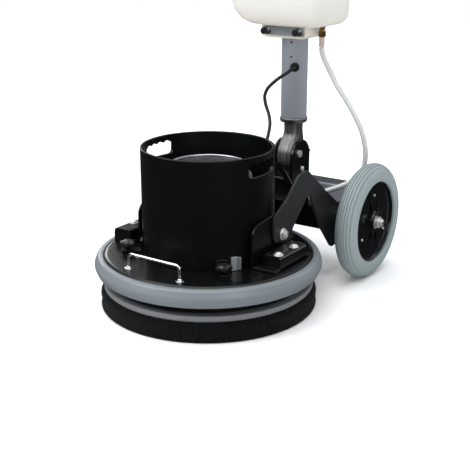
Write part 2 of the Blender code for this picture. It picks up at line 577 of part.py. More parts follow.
def tank():
    shell = tank_form("tank_shell", 0.0, WHITE_TANK)
    saddle = block("saddle", (-SADDLE_LEFT, SADDLE_FRONT, SADDLE_BASE),
                   (SADDLE_RIGHT, SADDLE_REAR, TANK_BASE + 0.03), edge=0.010)
    neck = ring("filler_neck", MOUTH_R, NECK_R, TANK_TOP - 0.015, NECK_TOP, at=(CAP_X, CAP_Y, 0), sides=24)
    hollow = tank_form("tank_hollow_cutter", TANK_WALL)
    sheath = block("tube_sheath", (-TUBE_R - 0.006, COLUMN_Y - TUBE_R - 0.006, SADDLE_BASE + 0.002),
                   (TUBE_R + 0.006, TANK_Y + TANK_L, TANK_TOP))
    cut(hollow, sheath)
    mouth = disc("mouth_cutter", MOUTH_R + 0.002, TANK_TOP - 0.03, TANK_TOP + 0.01, at=(CAP_X, CAP_Y, 0),
                 sides=24)
    channel = extruded("channel_cutter", tube_channel(), SADDLE_BASE - 0.02, TANK_TOP + 0.01, "xy")
    outlet = disc("outlet_cutter", 0.0050, TANK_BASE - 0.01, TANK_BASE + 0.02, at=(OUTLET_X, OUTLET_Y, 0),
                  sides=12)
    bolts = [disc(f"bolt_cutter_{side}", 0.0045, 0.26, 0.36, at=(sign * KNOB_X, 0, STRAP_Z), axis=Y, sides=12)
             for side, sign in SIDES]
    joined(cut(joined(shell, saddle), channel, hollow, mouth, outlet, *bolts), neck)

    plug, brim, low = MOUTH_R - 0.0005, NECK_R + 0.005, NECK_TOP - 0.008
    cap = turned("tank_cap", [
        (plug, low), (plug, NECK_TOP + GAP), (brim - 0.002, NECK_TOP + GAP), (brim, NECK_TOP + 0.002),
        (brim, NECK_TOP + 0.014), (brim - 0.002, NECK_TOP + 0.016), (0, NECK_TOP + 0.016),
        (0, NECK_TOP + 0.004), (plug - 0.003, NECK_TOP + 0.004), (plug - 0.003, low)],
        BLACK_PLASTIC, (CAP_X, CAP_Y, 0), sides=24)
    on_pivot("cap_axis", (CAP_X, CAP_Y, NECK_TOP), cap)

    face = SADDLE_FRONT - GAP
    strap = block("tank_strap", (-STRAP_W, face - 0.003, STRAP_Z - STRAP_H),
                  (STRAP_W, face, STRAP_Z + STRAP_H), ZINC)
    holes = [disc(f"strap_hole_{side}", 0.0045, 0.26, 0.28, at=(sign * KNOB_X, 0, STRAP_Z), axis=Y, sides=12)
             for side, sign in SIDES]
    cut(strap, *holes)
    for side, sign in SIDES:
        turned("strap_knob_" + side, [
            (0, 0.3500), (0.0040, 0.3500), (0.0040, face - 0.003 - GAP), (0.0062, face - 0.003 - GAP),
            (0.0062, face - 0.008), (0.0072, face - 0.009), (0.0072, face - 0.017), (0.0060, face - 0.019),
            (0, face - 0.019)],
            BLACK_PLASTIC, (sign * KNOB_X, 0, STRAP_Z), Y, 12)
    turned("hose_fitting", [
        (0, OUTLET_Z), (0.0052, OUTLET_Z), (0.0052, 0.4965), (0.0085, 0.4980), (0.0085, 0.5080),
        (0.0065, 0.5100), (0.0065, 0.5170), (0.0090, 0.5180), (0.0090, TANK_BASE - 0.0008),
        (0.0047, TANK_BASE - 0.0008), (0.0047, 0.5320), (0, 0.5320)],
        BRASS, (OUTLET_X, OUTLET_Y, 0), sides=12)


def tube_channel():
    """The tank's channel for the column, open at the rear: a half round and two straight walls."""
    clear = TUBE_R + 0.0010
    steps = 10
    turns = [pi + pi * k / steps for k in range(steps + 1)]
    arc = [(clear * cos(t), COLUMN_Y + clear * sin(t)) for t in turns]
    return arc + [(clear, TANK_Y + TANK_L + 0.03), (-clear, TANK_Y + TANK_L + 0.03)]


# ------------------------------------------------------------------ handle head
def handle_head():
    head = block("head_housing", (-HEAD_W, HEAD_Y0, HEAD_Z0), (HEAD_W, HEAD_Y1, HEAD_Z1),
                 BLACK_PLASTIC, 0.014)
    socket = disc("socket_cutter", TUBE_R + GAP, HEAD_Z0 - 0.01, TUBE_TOP + GAP, at=(0, COLUMN_Y, 0),
                  sides=24)
    grips = disc("grip_cutter", 0.0130 + GAP, -0.08, 0.08, at=(0, GRIP_Y, GRIP_Z), axis=X)
    button = disc("button_cutter", 0.0092, HEAD_Z1 - 0.012, HEAD_Z1 + 0.01, at=(0, 0.315, 0), sides=16)
    trigger = disc("trigger_cutter", 0.0050, -0.08, 0.08, at=(0, TRIGGER_Y, TRIGGER_Z), axis=X, sides=16)
    slot = block("lever_slot_cutter", (-0.013, LEVER_Y - 0.011, HEAD_Z0 - 0.01),
                 (0.013, LEVER_Y + 0.011, HEAD_Z0 + 0.012))
    lug_outline = rounded([
        (LEVER_Y - 0.009, HEAD_Z0 + 0.004), (LEVER_Y - 0.009, LEVER_Z - 0.009, 0.008),
        (LEVER_Y + 0.009, LEVER_Z - 0.009, 0.008), (LEVER_Y + 0.009, HEAD_Z0 + 0.004)])
    lugs = [extruded(f"lever_lug_{side}", lug_outline, *sorted((sign * 0.0130, sign * 0.0170)), "yz")
            for side, sign in SIDES]
    lever_pin = disc("lever_pin", 0.0030, -0.0150, 0.0150, at=(0, LEVER_Y, LEVER_Z), axis=X, sides=12)
    joined(cut(head, socket, grips, button, trigger, slot), *lugs, lever_pin)

    cap = disc("safety_button", 0.0088, HEAD_Z1 - 0.0050, HEAD_Z1 + 0.0060, RED_PLASTIC, (0, 0.315, 0),
               sides=16)
    on_pivot("button_axis", (0, 0.315, HEAD_Z1), cap)
    for side, sign in SIDES:
        inner = 0.0100
        profile = [(0, inner), (0.0130, inner), (0.0130, HEAD_W + GAP), (GRIP_R, HEAD_W + GAP),
                   (GRIP_R, GRIP_END - 0.004), (GRIP_R - 0.004, GRIP_END), (0, GRIP_END)]
        turned("grip_" + side, profile, BLACK_RUBBER, (0, GRIP_Y, GRIP_Z), (sign, 0, 0), 20)
        paddle = extruded("trigger_" + side, rounded([
            (TRIGGER_Y - 0.008, TRIGGER_Z - 0.006, 0.004), (0.370, TRIGGER_Z - 0.012, 0.002),
            (0.380, TRIGGER_Z - 0.008, 0.002), (0.370, TRIGGER_Z - 0.005, 0.010),
            (TRIGGER_Y + 0.008, TRIGGER_Z + 0.006, 0.006), (TRIGGER_Y - 0.008, TRIGGER_Z + 0.006, 0.004)]),
            *sorted((sign * (HEAD_W + 0.003), sign * (GRIP_END - 0.050))), "yz", BLACK_PLASTIC)
        spindle = disc("trigger_spindle_" + side, 0.0047, *sorted((sign * 0.0300, sign * (HEAD_W + 0.010))),
                       at=(0, TRIGGER_Y, TRIGGER_Z), axis=X, sides=16)
        on_pivot("trigger_axis_" + side, (0, TRIGGER_Y, TRIGGER_Z), joined(paddle, spindle))
    lever = extruded("tilt_lever", rounded([
        (LEVER_Y - 0.009, LEVER_Z - 0.008, 0.006), (LEVER_Y + 0.060, LEVER_Z - 0.016, 0.003),
        (LEVER_Y + 0.062, LEVER_Z - 0.010, 0.002), (LEVER_Y + 0.010, LEVER_Z + 0.006, 0.008),
        (LEVER_Y - 0.009, LEVER_Z + 0.008, 0.006)]), -0.0125, 0.0125, "yz", RED_PLASTIC)
    cut(lever, disc("lever_hole_cutter", 0.0033, -0.02, 0.02, at=(0, LEVER_Y, LEVER_Z), axis=X, sides=12))
    on_pivot("lever_axis", (0, LEVER_Y, LEVER_Z), lever)


# ------------------------------------------------------------------ leads
def leads():
    rod("lead_upper", smooth_route(LEAD_UPPER, LEAD_D * 2.5), LEAD_D / 2, BLACK_RUBBER, 2)
    start = [(0, GLAND_END + GAP, GLAND_Z)]
    bend = quarter_bend(0, (LEAD_CLIP_Y - LEAD_BEND, GLAND_Z + LEAD_BEND), LEAD_BEND, -pi / 2, 0)
    rod("lead_lower", start + bend + [(0, LEAD_CLIP_Y, 0.1657)], LEAD_D / 2, BLACK_RUBBER, 2)

    rod("hose_upper", smooth_route(HOSE_UPPER, HOSE_D * 2), HOSE_D / 2, CLEAR_HOSE, 2)
    over = [(HOSE_CLIP_X, 0.1952, HOSE_CLIP_Z)]
    bend = quarter_bend(HOSE_CLIP_X, (INLET_Y + HOSE_BEND, HOSE_CLIP_Z - HOSE_BEND), HOSE_BEND, pi / 2, pi)
    rod("hose_lower", over + bend + [(HOSE_CLIP_X, INLET_Y, INLET_TOP + GAP)], HOSE_D / 2, CLEAR_HOSE, 2)


def build():
    deck_plate()
    bumper_ring()
    motor_sleeve()
    pull_handle()
    water_inlet()
    motor()
    rotor()
    cross_members()
    axle_and_pins()
    for side, sign in SIDES:
        bracket(side, sign)
        pivot_bolt(side, sign)
        side_plate(side, sign)
        cheek(side, sign)
        wheel(side, sign)
    column()
    tank()
    handle_head()
    leads()


build()
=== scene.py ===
"""Looks for the high speed burnisher: smooth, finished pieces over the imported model.

Metres, +Z up, in the model's own frame: the pad stands on the floor at the origin, the wheels
and the operator are at +Y, and +X is the side with the hose.
"""

import json
from math import acos, atan2, cos, hypot, pi, radians, sin, sqrt, tau

import bmesh
import bpy
from mathutils import Matrix, Vector


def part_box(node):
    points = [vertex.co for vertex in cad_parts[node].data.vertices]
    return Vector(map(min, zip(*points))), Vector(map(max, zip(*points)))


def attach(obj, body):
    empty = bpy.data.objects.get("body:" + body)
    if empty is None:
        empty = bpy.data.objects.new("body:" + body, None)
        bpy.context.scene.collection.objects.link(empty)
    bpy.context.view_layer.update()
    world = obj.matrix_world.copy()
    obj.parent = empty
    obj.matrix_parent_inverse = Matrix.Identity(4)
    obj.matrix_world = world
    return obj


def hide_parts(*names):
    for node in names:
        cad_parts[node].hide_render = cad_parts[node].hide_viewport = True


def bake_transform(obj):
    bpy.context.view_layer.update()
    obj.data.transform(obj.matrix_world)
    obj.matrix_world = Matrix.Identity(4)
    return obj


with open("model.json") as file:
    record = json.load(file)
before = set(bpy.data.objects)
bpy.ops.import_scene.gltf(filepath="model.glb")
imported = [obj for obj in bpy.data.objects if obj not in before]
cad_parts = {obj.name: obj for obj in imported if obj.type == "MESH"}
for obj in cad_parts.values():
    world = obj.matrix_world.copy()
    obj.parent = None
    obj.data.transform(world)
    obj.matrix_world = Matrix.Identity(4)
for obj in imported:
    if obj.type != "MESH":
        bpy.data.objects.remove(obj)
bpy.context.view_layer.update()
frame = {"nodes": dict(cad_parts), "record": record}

X, Y, Z = (1, 0, 0), (0, 1, 0), (0, 0, 1)
SIDES = (("left", -1), ("right", 1))


# ------------------------------------------------------------------ camera
camera = bpy.data.objects.new("camera", bpy.data.cameras.new("camera"))
bpy.context.scene.collection.objects.link(camera)
bpy.context.scene.camera = camera
camera.data.lens = 73.53
camera.data.sensor_width = 36.0
camera.location = (1.06, -1.459, 0.743)
camera.rotation_euler = (radians(71.47), 0.0, radians(34.33))
camera.data.clip_end = 50.0


# ------------------------------------------------------------------ finishes
class Wire:
    """An output inside a finish; sums and products of wires add the nodes that work them out."""

    def __init__(self, finish, socket):
        self.finish = finish
        self.socket = socket

    def maths(self, operation, *terms):
        return self.finish.node("ShaderNodeMath", {"operation": operation}, dict(enumerate(terms)))

    def __add__(self, other):
        return self.maths("ADD", self, other)

    def __sub__(self, other):
        return self.maths("SUBTRACT", self, other)

    def __rsub__(self, other):
        return self.maths("SUBTRACT", other, self)

    def __mul__(self, other):
        return self.maths("MULTIPLY", self, other)

    __radd__ = __add__
    __rmul__ = __mul__

    def clipped(self, low, high):
        """0 below low and 1 above high, with a soft step between."""
        settings = {"interpolation_type": "SMOOTHSTEP"}
        return self.finish.node("ShaderNodeMapRange", settings, {"Value": self, "From Min": low,
            "From Max": high})


class Finish:
    """A material in the making: its shader, and the nodes that vary it over a surface."""

    def __init__(self, name, **constants):
        self.material = bpy.data.materials.new(name)
        self.material.use_nodes = True
        self.tree = self.material.node_tree
        self.shader = self.tree.nodes["Principled BSDF"]
        for words, value in constants.items():
            self.shader.inputs[words.replace("_", " ")].default_value = value
        self.place = self.node("ShaderNodeTexCoord", output="Object")

    def node(self, kind, settings=None, values=None, output=0):
        made = self.tree.nodes.new(kind)
        for name, value in (settings or {}).items():
            if name == "stops":
                self.set_stops(made.color_ramp, value)
            else:
                setattr(made, name, value)
        for name, value in (values or {}).items():
            self.put(made.inputs[name], value)
        return Wire(self, made.outputs[output])

    @staticmethod
    def set_stops(ramp, stops):
        while len(ramp.elements) < len(stops):
            ramp.elements.new(1.0)
        for element, (position, colour) in zip(ramp.elements, stops):
            element.position = position
            element.color = (*colour, 1.0)

    def put(self, socket, value):
        if isinstance(value, Wire):
            self.tree.links.new(value.socket, socket)
        else:
            socket.default_value = value

    def stretched(self, scale):
        """The surface's own coordinates, scaled apart along the three axes."""
        return self.node("ShaderNodeVectorMath", {"operation": "MULTIPLY"}, {0: self.place, 1: scale})

    def noise(self, scale, detail=3.0, roughness=0.5, along=None):
        where = self.stretched(along) if along else self.place
        values = {"Vector": where, "Scale": scale, "Detail": detail, "Roughness": roughness}
        return self.node("ShaderNodeTexNoise", None, values)

    def cells(self, scale, feature="F1", output="Distance"):
        return self.node("ShaderNodeTexVoronoi", {"feature": feature},
            {"Vector": self.place, "Scale": scale}, output)

    def reach(self, axis):
        """How far a point is along X, Y or Z."""
        return self.node("ShaderNodeSeparateXYZ", None, {0: self.place}, axis)

    def mixed(self, share, first, second):
        first, second = ((*c, 1.0) if isinstance(c, tuple) else c for c in (first, second))
        return self.node("ShaderNodeMix", {"data_type": "RGBA"}, {0: share, 6: first, 7: second}, 2)

    def raised(self, height, distance, under=None):
        """A normal that shows a height, over an earlier one if there is one."""
        values = {"Height": height, "Distance": distance}
        if under:
            values["Normal"] = under
        return self.node("ShaderNodeBump", None, values)

    def wear(self, near=0.48, far=0.56):
        """1 on sharp outer edges and 0 elsewhere."""
        return self.node("ShaderNodeNewGeometry", output="Pointiness").clipped(near, far)

    def done(self, **varying):
        for words, value in varying.items():
            self.put(self.shader.inputs[words.replace("_", " ")], value)
        return self.material


def powder_coat(name, colour, dusty, low, high, peel, shine=0.5):
    """Sprayed and baked paint: fine orange peel, cloudy gloss and a trace of dust."""
    coat = Finish(name, Specular_IOR_Level=shine)
    cloud = coat.noise(9.0, 4.0)
    speck = coat.noise(900.0, 2.0)
    dust = coat.noise(26.0, 8.0, 0.72).clipped(0.56, 0.8)
    tone = coat.mixed(dust * 0.5 + speck * 0.1, colour, dusty)
    rough = cloud * (high - low) + low + dust * 0.1
    return coat.done(Base_Color=tone, Roughness=rough, Normal=coat.raised(coat.noise(480.0, 3.0), peel))


def smooth_rubber(name, colour, dusty, low, high, grain):
    """Moulded rubber: a soft bloom, scuffs that run round it and a fine grain."""
    rubber = Finish(name, Specular_IOR_Level=0.45)
    bloom = rubber.noise(11.0, 5.0, 0.6)
    scuff = rubber.noise(60.0, 6.0, 0.7, along=(1.0, 1.0, 9.0)).clipped(0.6, 0.74)
    tone = rubber.mixed(bloom * 0.55 + scuff * 0.3, colour, dusty)
    grain_normal = rubber.raised(rubber.noise(750.0, 3.0), grain)
    return rubber.done(Base_Color=tone, Roughness=bloom * (high - low) + low, Normal=grain_normal)


def bright_metal(name, colour, dull, low, high, brushing, depth, metallic=1.0):
    """Plated or machined metal with fine lines across the brushing's long axis."""
    metal = Finish(name, Metallic=metallic)
    lines = metal.noise(60.0, 4.0, 0.65, along=brushing)
    cloud = metal.noise(30.0, 4.0)
    tone = metal.mixed(lines * 0.5 + cloud * 0.5, colour, dull)
    rough = (lines * 0.6 + cloud * 0.4) * (high - low) + low
    return metal.done(Base_Color=tone, Roughness=rough, Normal=metal.raised(lines, depth))


def textured_plastic(name, colour, pale, roughness, scale, depth):
    """Moulded plastic with a spark-eroded texture, paler where hands and shoes rub it."""
    plastic = Finish(name, Specular_IOR_Level=0.5)
    rub = plastic.wear(0.5, 0.6) * plastic.noise(60.0, 4.0)
    haze = plastic.noise(14.0, 4.0)
    tone = plastic.mixed(rub * 0.5 + haze * 0.25, colour, pale)
    leather = plastic.cells(scale) * 0.6 + plastic.noise(scale * 1.7, 2.0) * 0.4
    return plastic.done(Base_Color=tone, Roughness=haze * 0.14 + roughness,
        Normal=plastic.raised(leather, depth))


def pad_felt():
    """Black non-woven pad: crossing fibres with open pores between them."""
    felt = Finish("pad_fibre", Specular_IOR_Level=0.08, Sheen_Weight=0.03, Sheen_Roughness=0.6)
    fibres = felt.noise(420.0, 6.0, 0.75, along=(1.0, 1.0, 0.35))
    cross = felt.noise(300.0, 6.0, 0.75, along=(0.6, 0.6, 1.6))
    pores = felt.cells(260.0).clipped(0.15, 0.75)
    tone = felt.mixed(fibres.clipped(0.42, 0.72), (0.0014, 0.0014, 0.0015), (0.0085, 0.0086, 0.009))
    normal = felt.raised(fibres * 0.5 + cross * 0.5 + pores * 0.4, 0.0016)
    return felt.done(Base_Color=tone, Roughness=cross * 0.15 + 0.82, Normal=normal)


def linished_casting():
    """Die-cast aluminium, linished up and down: dull streaks and pits."""
    cast = Finish("cast_aluminium", Metallic=0.85)
    streaks = cast.noise(34.0, 7.0, 0.72, along=(9.0, 0.9, 0.1))
    fine = cast.noise(120.0, 4.0, 0.7, along=(9.0, 1.2, 0.25))
    pits = cast.cells(420.0).clipped(0.0, 0.28)
    shade = streaks.clipped(0.34, 0.68)
    tone = cast.mixed(shade, (0.085, 0.081, 0.079), (0.29, 0.28, 0.275))
    rough = fine * 0.24 + 0.36
    return cast.done(Base_Color=tone, Roughness=rough, Normal=cast.raised(streaks * 0.7 + fine * 0.25
        + pits * 0.05, 0.0006))


def moulded_tank():
    """Blow-moulded milky polyethylene: light soaks in and clouds it unevenly, and its lower part carries
    painted shade.
    """
    milk = Finish("white_tank", Subsurface_Weight=0.4, Subsurface_Radius=(0.03, 0.026, 0.019),
        Subsurface_Scale=0.7, Specular_IOR_Level=0.35)
    cloud = milk.noise(7.0, 4.0)
    # painted shade: below this height the tank and its saddle are coloured warmer and darker than the
    # top
    height = milk.reach("Z").clipped(0.48, 0.6)
    base = milk.mixed(height, (0.66, 0.62, 0.54), (0.76, 0.76, 0.735))
    tone = milk.mixed(cloud * 0.3, base, (0.69, 0.69, 0.67))
    skin = milk.raised(milk.noise(700.0, 3.0), 0.00012, milk.raised(milk.noise(16.0, 2.0), 0.0006))
    return milk.done(Base_Color=tone, Roughness=cloud * 0.12 + 0.32, Normal=skin)


def soft_vinyl():
    """Milky clear hose: pale, glossy, with a faint warm core."""
    vinyl = Finish("clear_hose", Subsurface_Weight=0.35, Subsurface_Radius=(0.008, 0.007, 0.005),
        Subsurface_Scale=0.5, Specular_IOR_Level=0.5)
    core = vinyl.noise(22.0, 3.0)
    tone = vinyl.mixed(core, (0.7, 0.71, 0.71), (0.58, 0.58, 0.57))
    return vinyl.done(Base_Color=tone, Roughness=core * 0.12 + 0.2,
        Normal=vinyl.raised(vinyl.noise(90.0, 3.0), 0.0003))


def wound_core():
    """Varnished laminations with the copper windings that stand out at both ends."""
    core = Finish("stator_iron", Metallic=0.5)
    sheets = core.node("ShaderNodeTexWave", {"bands_direction": "Z"},
        {"Vector": core.place, "Scale": 300.0}, "Fac")
    wires = core.noise(500.0, 4.0, along=(1.0, 1.0, 0.3))
    above = core.reach("Z") - 0.186
    ends = core.node("ShaderNodeMath", {"operation": "ABSOLUTE"}, {0: above}).clipped(0.0338, 0.0346)
    tone = core.mixed(ends, core.mixed(sheets, (0.05, 0.045, 0.04), (0.13, 0.11, 0.09)),
        core.mixed(wires, (0.36, 0.13, 0.04), (0.62, 0.29, 0.12)))
    return core.done(Base_Color=tone, Roughness=wires * 0.2 + 0.32,
        Normal=core.raised(sheets * 0.5 + wires, 0.0006))


def floor_paint():
    """The studio's plain pale floor."""
    floor = Finish("studio_floor", Specular_IOR_Level=0.1)
    cloud = floor.noise(1.5, 3.0)
    return floor.done(Base_Color=floor.mixed(cloud, (0.93, 0.93, 0.93), (0.95, 0.95, 0.95)),
        Roughness=cloud * 0.1 + 0.85)


COATS = {  # name: colour, dusty colour, least and most roughness, depth of the peel, shine
    "black_paint": ((0.0026, 0.0028, 0.003), (0.008, 0.0085, 0.0088), 0.18, 0.28, 0.00004, 0.26),
    "grey_paint": ((0.265, 0.285, 0.33), (0.34, 0.36, 0.4), 0.3, 0.42, 0.00005),
    "satin_black": ((0.002, 0.0024, 0.0025), (0.0048, 0.0054, 0.0056), 0.3, 0.4, 0.00006, 0.22),
    "charcoal_plate": ((0.017, 0.0185, 0.0195), (0.036, 0.038, 0.04), 0.38, 0.48, 0.00009, 0.4),
    "disc_black": ((0.0018, 0.002, 0.003), (0.005, 0.0054, 0.0066), 0.12, 0.22, 0.00004, 0.35),
    "step_grey": ((0.06, 0.065, 0.072), (0.105, 0.11, 0.118), 0.36, 0.48, 0.00008, 0.4),
    "guard_wire": ((0.02, 0.022, 0.023), (0.05, 0.052, 0.054), 0.3, 0.42, 0.00005),
}
RUBBERS = {  # name: colour, dusty colour, least and most roughness, depth of the grain
    "grey_rubber": ((0.15, 0.17, 0.188), (0.2, 0.218, 0.235), 0.3, 0.42, 0.00008),
    "tyre_rubber": ((0.245, 0.295, 0.305), (0.305, 0.355, 0.365), 0.5, 0.66, 0.0001),
}
METALS = {  # name: colour, dull colour, least and most roughness, brushing, its depth, metallic share
    "chrome": ((0.88, 0.88, 0.9), (0.74, 0.74, 0.76), 0.05, 0.16, (1.0, 1.0, 1.0), 0.00002),
    "zinc": ((0.5, 0.53, 0.55), (0.33, 0.36, 0.38), 0.34, 0.54, (0.3, 8.0, 8.0), 0.0002, 0.55),
    "steel": ((0.88, 0.88, 0.89), (0.66, 0.66, 0.67), 0.26, 0.44, (3.0, 3.0, 3.0), 0.0001, 0.7),
    "brass": ((0.42, 0.24, 0.085), (0.26, 0.135, 0.045), 0.24, 0.44, (2.0, 2.0, 8.0), 0.0002),
    "turned_collar": ((0.52, 0.51, 0.5), (0.34, 0.34, 0.34), 0.3, 0.42, (2.0, 2.0, 20.0), 0.0001),
    "rolled_rim": ((0.62, 0.64, 0.65), (0.42, 0.44, 0.45), 0.28, 0.44, (3.0, 3.0, 3.0), 0.0001),
}
PLASTICS = {  # name: colour, rubbed colour, roughness, the texture's scale and depth
    "driver_grey": ((0.155, 0.16, 0.17), (0.24, 0.25, 0.26), 0.42, 420.0, 0.0001),
    "black_plastic": ((0.0045, 0.0047, 0.0052), (0.022, 0.022, 0.023), 0.3, 520.0, 0.0001),
    "black_rubber": ((0.003, 0.0031, 0.0034), (0.015, 0.015, 0.015), 0.5, 640.0, 0.00012),
    "red_plastic": ((0.46, 0.018, 0.016), (0.6, 0.1, 0.08), 0.26, 460.0, 0.00006),
    "pale_ferrule": ((0.56, 0.46, 0.4), (0.66, 0.58, 0.52), 0.3, 500.0, 0.00005),
}
FINISH = {"pad_fibre": pad_felt(), "cast_aluminium": linished_casting(), "stator_iron": wound_core(),
    "white_tank": moulded_tank(), "clear_hose": soft_vinyl(), "studio_floor": floor_paint()}
for maker, table in ((powder_coat, COATS), (smooth_rubber, RUBBERS), (bright_metal, METALS),
        (textured_plastic, PLASTICS)):
    FINISH.update((name, maker(name, *look)) for name, look in table.items())

for row in frame["record"]["subparts"]:
    for slot in frame["nodes"][row["node"]].material_slots:
        slot.material = FINISH[row["material_slot"]]


# ------------------------------------------------------------------ shaping
def place(form, axis, at):
    """Turn a form that was made along Z onto an axis, then move it."""
    turn = Vector(Z).rotation_difference(Vector(axis)).to_matrix().to_4x4()
    form.transform(Matrix.Translation(Vector(at)) @ turn)
    return form


def rounded(corners, steps=6):
    """An outline whose corners, given as (u, v) or (u, v, radius), are arcs."""
    points = []
    count = len(corners)
    for i, corner in enumerate(corners):
        here = Vector(corner[:2])
        if len(corner) == 2:
            points.append(tuple(here))
            continue
        before = (Vector(corners[i - 1][:2]) - here).normalized()
        after = (Vector(corners[(i + 1) % count][:2]) - here).normalized()
        half = acos(max(-1.0, min(1.0, before.dot(after)))) / 2
        reach = corner[2] * cos(half) / sin(half)
        centre = here + (before + after).normalized() * corner[2] / sin(half)
        first = here + before * reach - centre
        last = here + after * reach - centre
        start = atan2(first.y, first.x)
        sweep = (atan2(last.y, last.x) - start + pi) % tau - pi
        for s in range(steps + 1):
            t = start + sweep * s / steps
            points.append((centre.x + corner[2] * cos(t), centre.y + corner[2] * sin(t)))
    return points


def turned(profile, sides=64, at=(0, 0, 0), axis=Z, scallop=None):
    """A solid turned from a closed (radius, height) profile; scallop(turn, r, z) alters a radius."""
    form = bmesh.new()
    rings = []
    for radius, height in profile:
        if radius <= 0:
            rings.append([form.verts.new((0, 0, height))] * sides)
            continue
        row = []
        for k in range(sides):
            t = tau * k / sides
            r = scallop(t, radius, height) if scallop else radius
            row.append(form.verts.new((r * cos(t), r * sin(t), height)))
        rings.append(row)
    for lower, upper in zip(rings, rings[1:] + rings[:1]):
        for k in range(sides):
            n = (k + 1) % sides
            corners = list(dict.fromkeys((lower[k], lower[n], upper[n], upper[k])))
            if len(corners) > 2:
                form.faces.new(corners)
    return place(form, axis, at)


def lofted(form, rings):
    """Close the form with a skin over its rings of vertices and a face on each end ring."""
    for lower, upper in zip(rings, rings[1:]):
        for k in range(len(lower)):
            n = (k + 1) % len(lower)
            form.faces.new((lower[k], lower[n], upper[n], upper[k]))
    form.faces.new(rings[0])
    form.faces.new(rings[-1])
    return form


def cylinder(radius, low, high, sides, at, axis=Z):
    return turned([(0, low), (radius, low), (radius, high), (0, high)], sides, at, axis)


def oblong(u0, v0, u1, v1, radii, steps):
    """A rounded rectangle from (u0, v0) to (u1, v1); radii go round from (u0, v0), 0 is sharp."""
    corners = ((u0, v0), (u1, v0), (u1, v1), (u0, v1))
    return rounded([(*corner, radius) if radius else corner for corner, radius in zip(corners, radii)],
        steps)


def prism(outline, low, high, plane="xy"):
    """The outline lies in the named plane and runs from low to high across it."""
    spread = {
        "xy": lambda u, v, w: (u, v, w),
        "yz": lambda u, v, w: (w, u, v),
        "xz": lambda u, v, w: (u, w, v),
    }[plane]
    form = bmesh.new()
    lower = [form.verts.new(spread(u, v, low)) for u, v in outline]
    upper = [form.verts.new(spread(u, v, high)) for u, v in outline]
    form.faces.new(lower)
    form.faces.new(upper)
    for k in range(len(outline)):
        n = (k + 1) % len(outline)
        form.faces.new((lower[k], lower[n], upper[n], upper[k]))
    return form


def slab(low, high):
    low, high = ([f(pair) for pair in zip(low, high)] for f in (min, max))
    outline = [(low[0], low[1]), (high[0], low[1]), (high[0], high[1]), (low[0], high[1])]
    return prism(outline, low[2], high[2])


def swept(points, radius, sides):
    """A round bar along a path, with closed ends."""
    form = bmesh.new()
    points = [Vector(p) for p in points]
    ahead = (points[1] - points[0]).normalized()
    side = ahead.orthogonal().normalized()
    rings = []
    for i, here in enumerate(points):
        before, after = points[max(i - 1, 0)], points[min(i + 1, len(points) - 1)]
        new_ahead = (after - before).normalized()
        side = (ahead.rotation_difference(new_ahead) @ side).normalized()
        ahead = new_ahead
        other = ahead.cross(side)
        turns = [tau * k / sides for k in range(sides)]
        rings.append([form.verts.new(here + (side * cos(t) + other * sin(t)) * radius) for t in turns])
    return lofted(form, rings)


def eased(rows, count):
    """The rows of numbers run through smoothly, count steps to each gap."""
    rows = [Vector(r) for r in rows]
    ends = [rows[0] * 2 - rows[1]] + rows + [rows[-1] * 2 - rows[-2]]
    fine = []
    for a, b, c, d in zip(ends, ends[1:], ends[2:], ends[3:]):
        for s in range(count):
            t = s / count
            fine.append(0.5 * (2 * b + (c - a) * t + (2 * a - 5 * b + 4 * c - d) * t ** 2
                + (3 * b - a - 3 * c + d) * t ** 3))
    return fine + [rows[-1]]


def smooth_route(route, spacing):
    """Evenly spaced points on a smooth curve through the route's own points."""
    fine = eased(route, 24)
    run = [0.0]
    for a, b in zip(fine, fine[1:]):
        run.append(run[-1] + (b - a).length)
    count = max(2, round(run[-1] / spacing))
    points = []
    for k in range(count + 1):
        want = run[-1] * k / count
        i = max(j for j in range(len(run) - 1) if run[j] <= want + 1e-9)
        points.append(fine[i].lerp(fine[i + 1], (want - run[i]) / (run[i + 1] - run[i])))
    return points


def quarter_bend(x, centre, radius, first, last, steps=14):
    """Points of a bend in the plane of constant x, from angle first to last."""
    turns = (first + (last - first) * k / steps for k in range(steps + 1))
    return [(x, centre[0] + radius * cos(t), centre[1] + radius * sin(t)) for t in turns]


def merged(*forms):
    """Several closed forms as one mesh; they may touch or pass into each other."""
    whole = forms[0]
    for form in forms[1:]:
        spare = bpy.data.meshes.new("spare")
        form.to_mesh(spare)
        form.free()
        whole.from_mesh(spare)
        bpy.data.meshes.remove(spare)
    return whole


def piece(name, form, finish, body, stands_for=(), edge=0.0, steps=3, crease=35.0):
    """A finished piece on its body. edge rounds its corners; crease is where smooth shading stops."""
    bmesh.ops.recalc_face_normals(form, faces=form.faces)
    mesh = bpy.data.meshes.new(name)
    form.to_mesh(mesh)
    form.free()
    mesh.shade_smooth()
    made = bpy.data.objects.new(name, mesh)
    bpy.context.scene.collection.objects.link(made)
    mesh.materials.append(FINISH[finish] if finish else None)
    if edge:
        corner = made.modifiers.new("corner", "BEVEL")
        corner.width = edge
        corner.segments = steps
        corner.limit_method = "ANGLE"
        corner.angle_limit = radians(crease)
        made.modifiers.new("even_faces", "WEIGHTED_NORMAL").keep_sharp = True
    else:
        mesh.set_sharp_from_angle(angle=radians(crease))
    if body:
        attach(made, body)
    if stands_for:
        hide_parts(*((stands_for,) if isinstance(stands_for, str) else stands_for))
    return made


def carved(form, *cutters):
    """The form with the cutters taken out of it."""
    block = piece("blank", form, None, None)
    tools = []
    for cutter in cutters:
        tool = piece("cutter", cutter, None, None)
        minus = block.modifiers.new("cut", "BOOLEAN")
        minus.operation = "DIFFERENCE"
        minus.solver = "EXACT"
        minus.object = tool
        tools.append(tool)
    return taken(block, *tools)


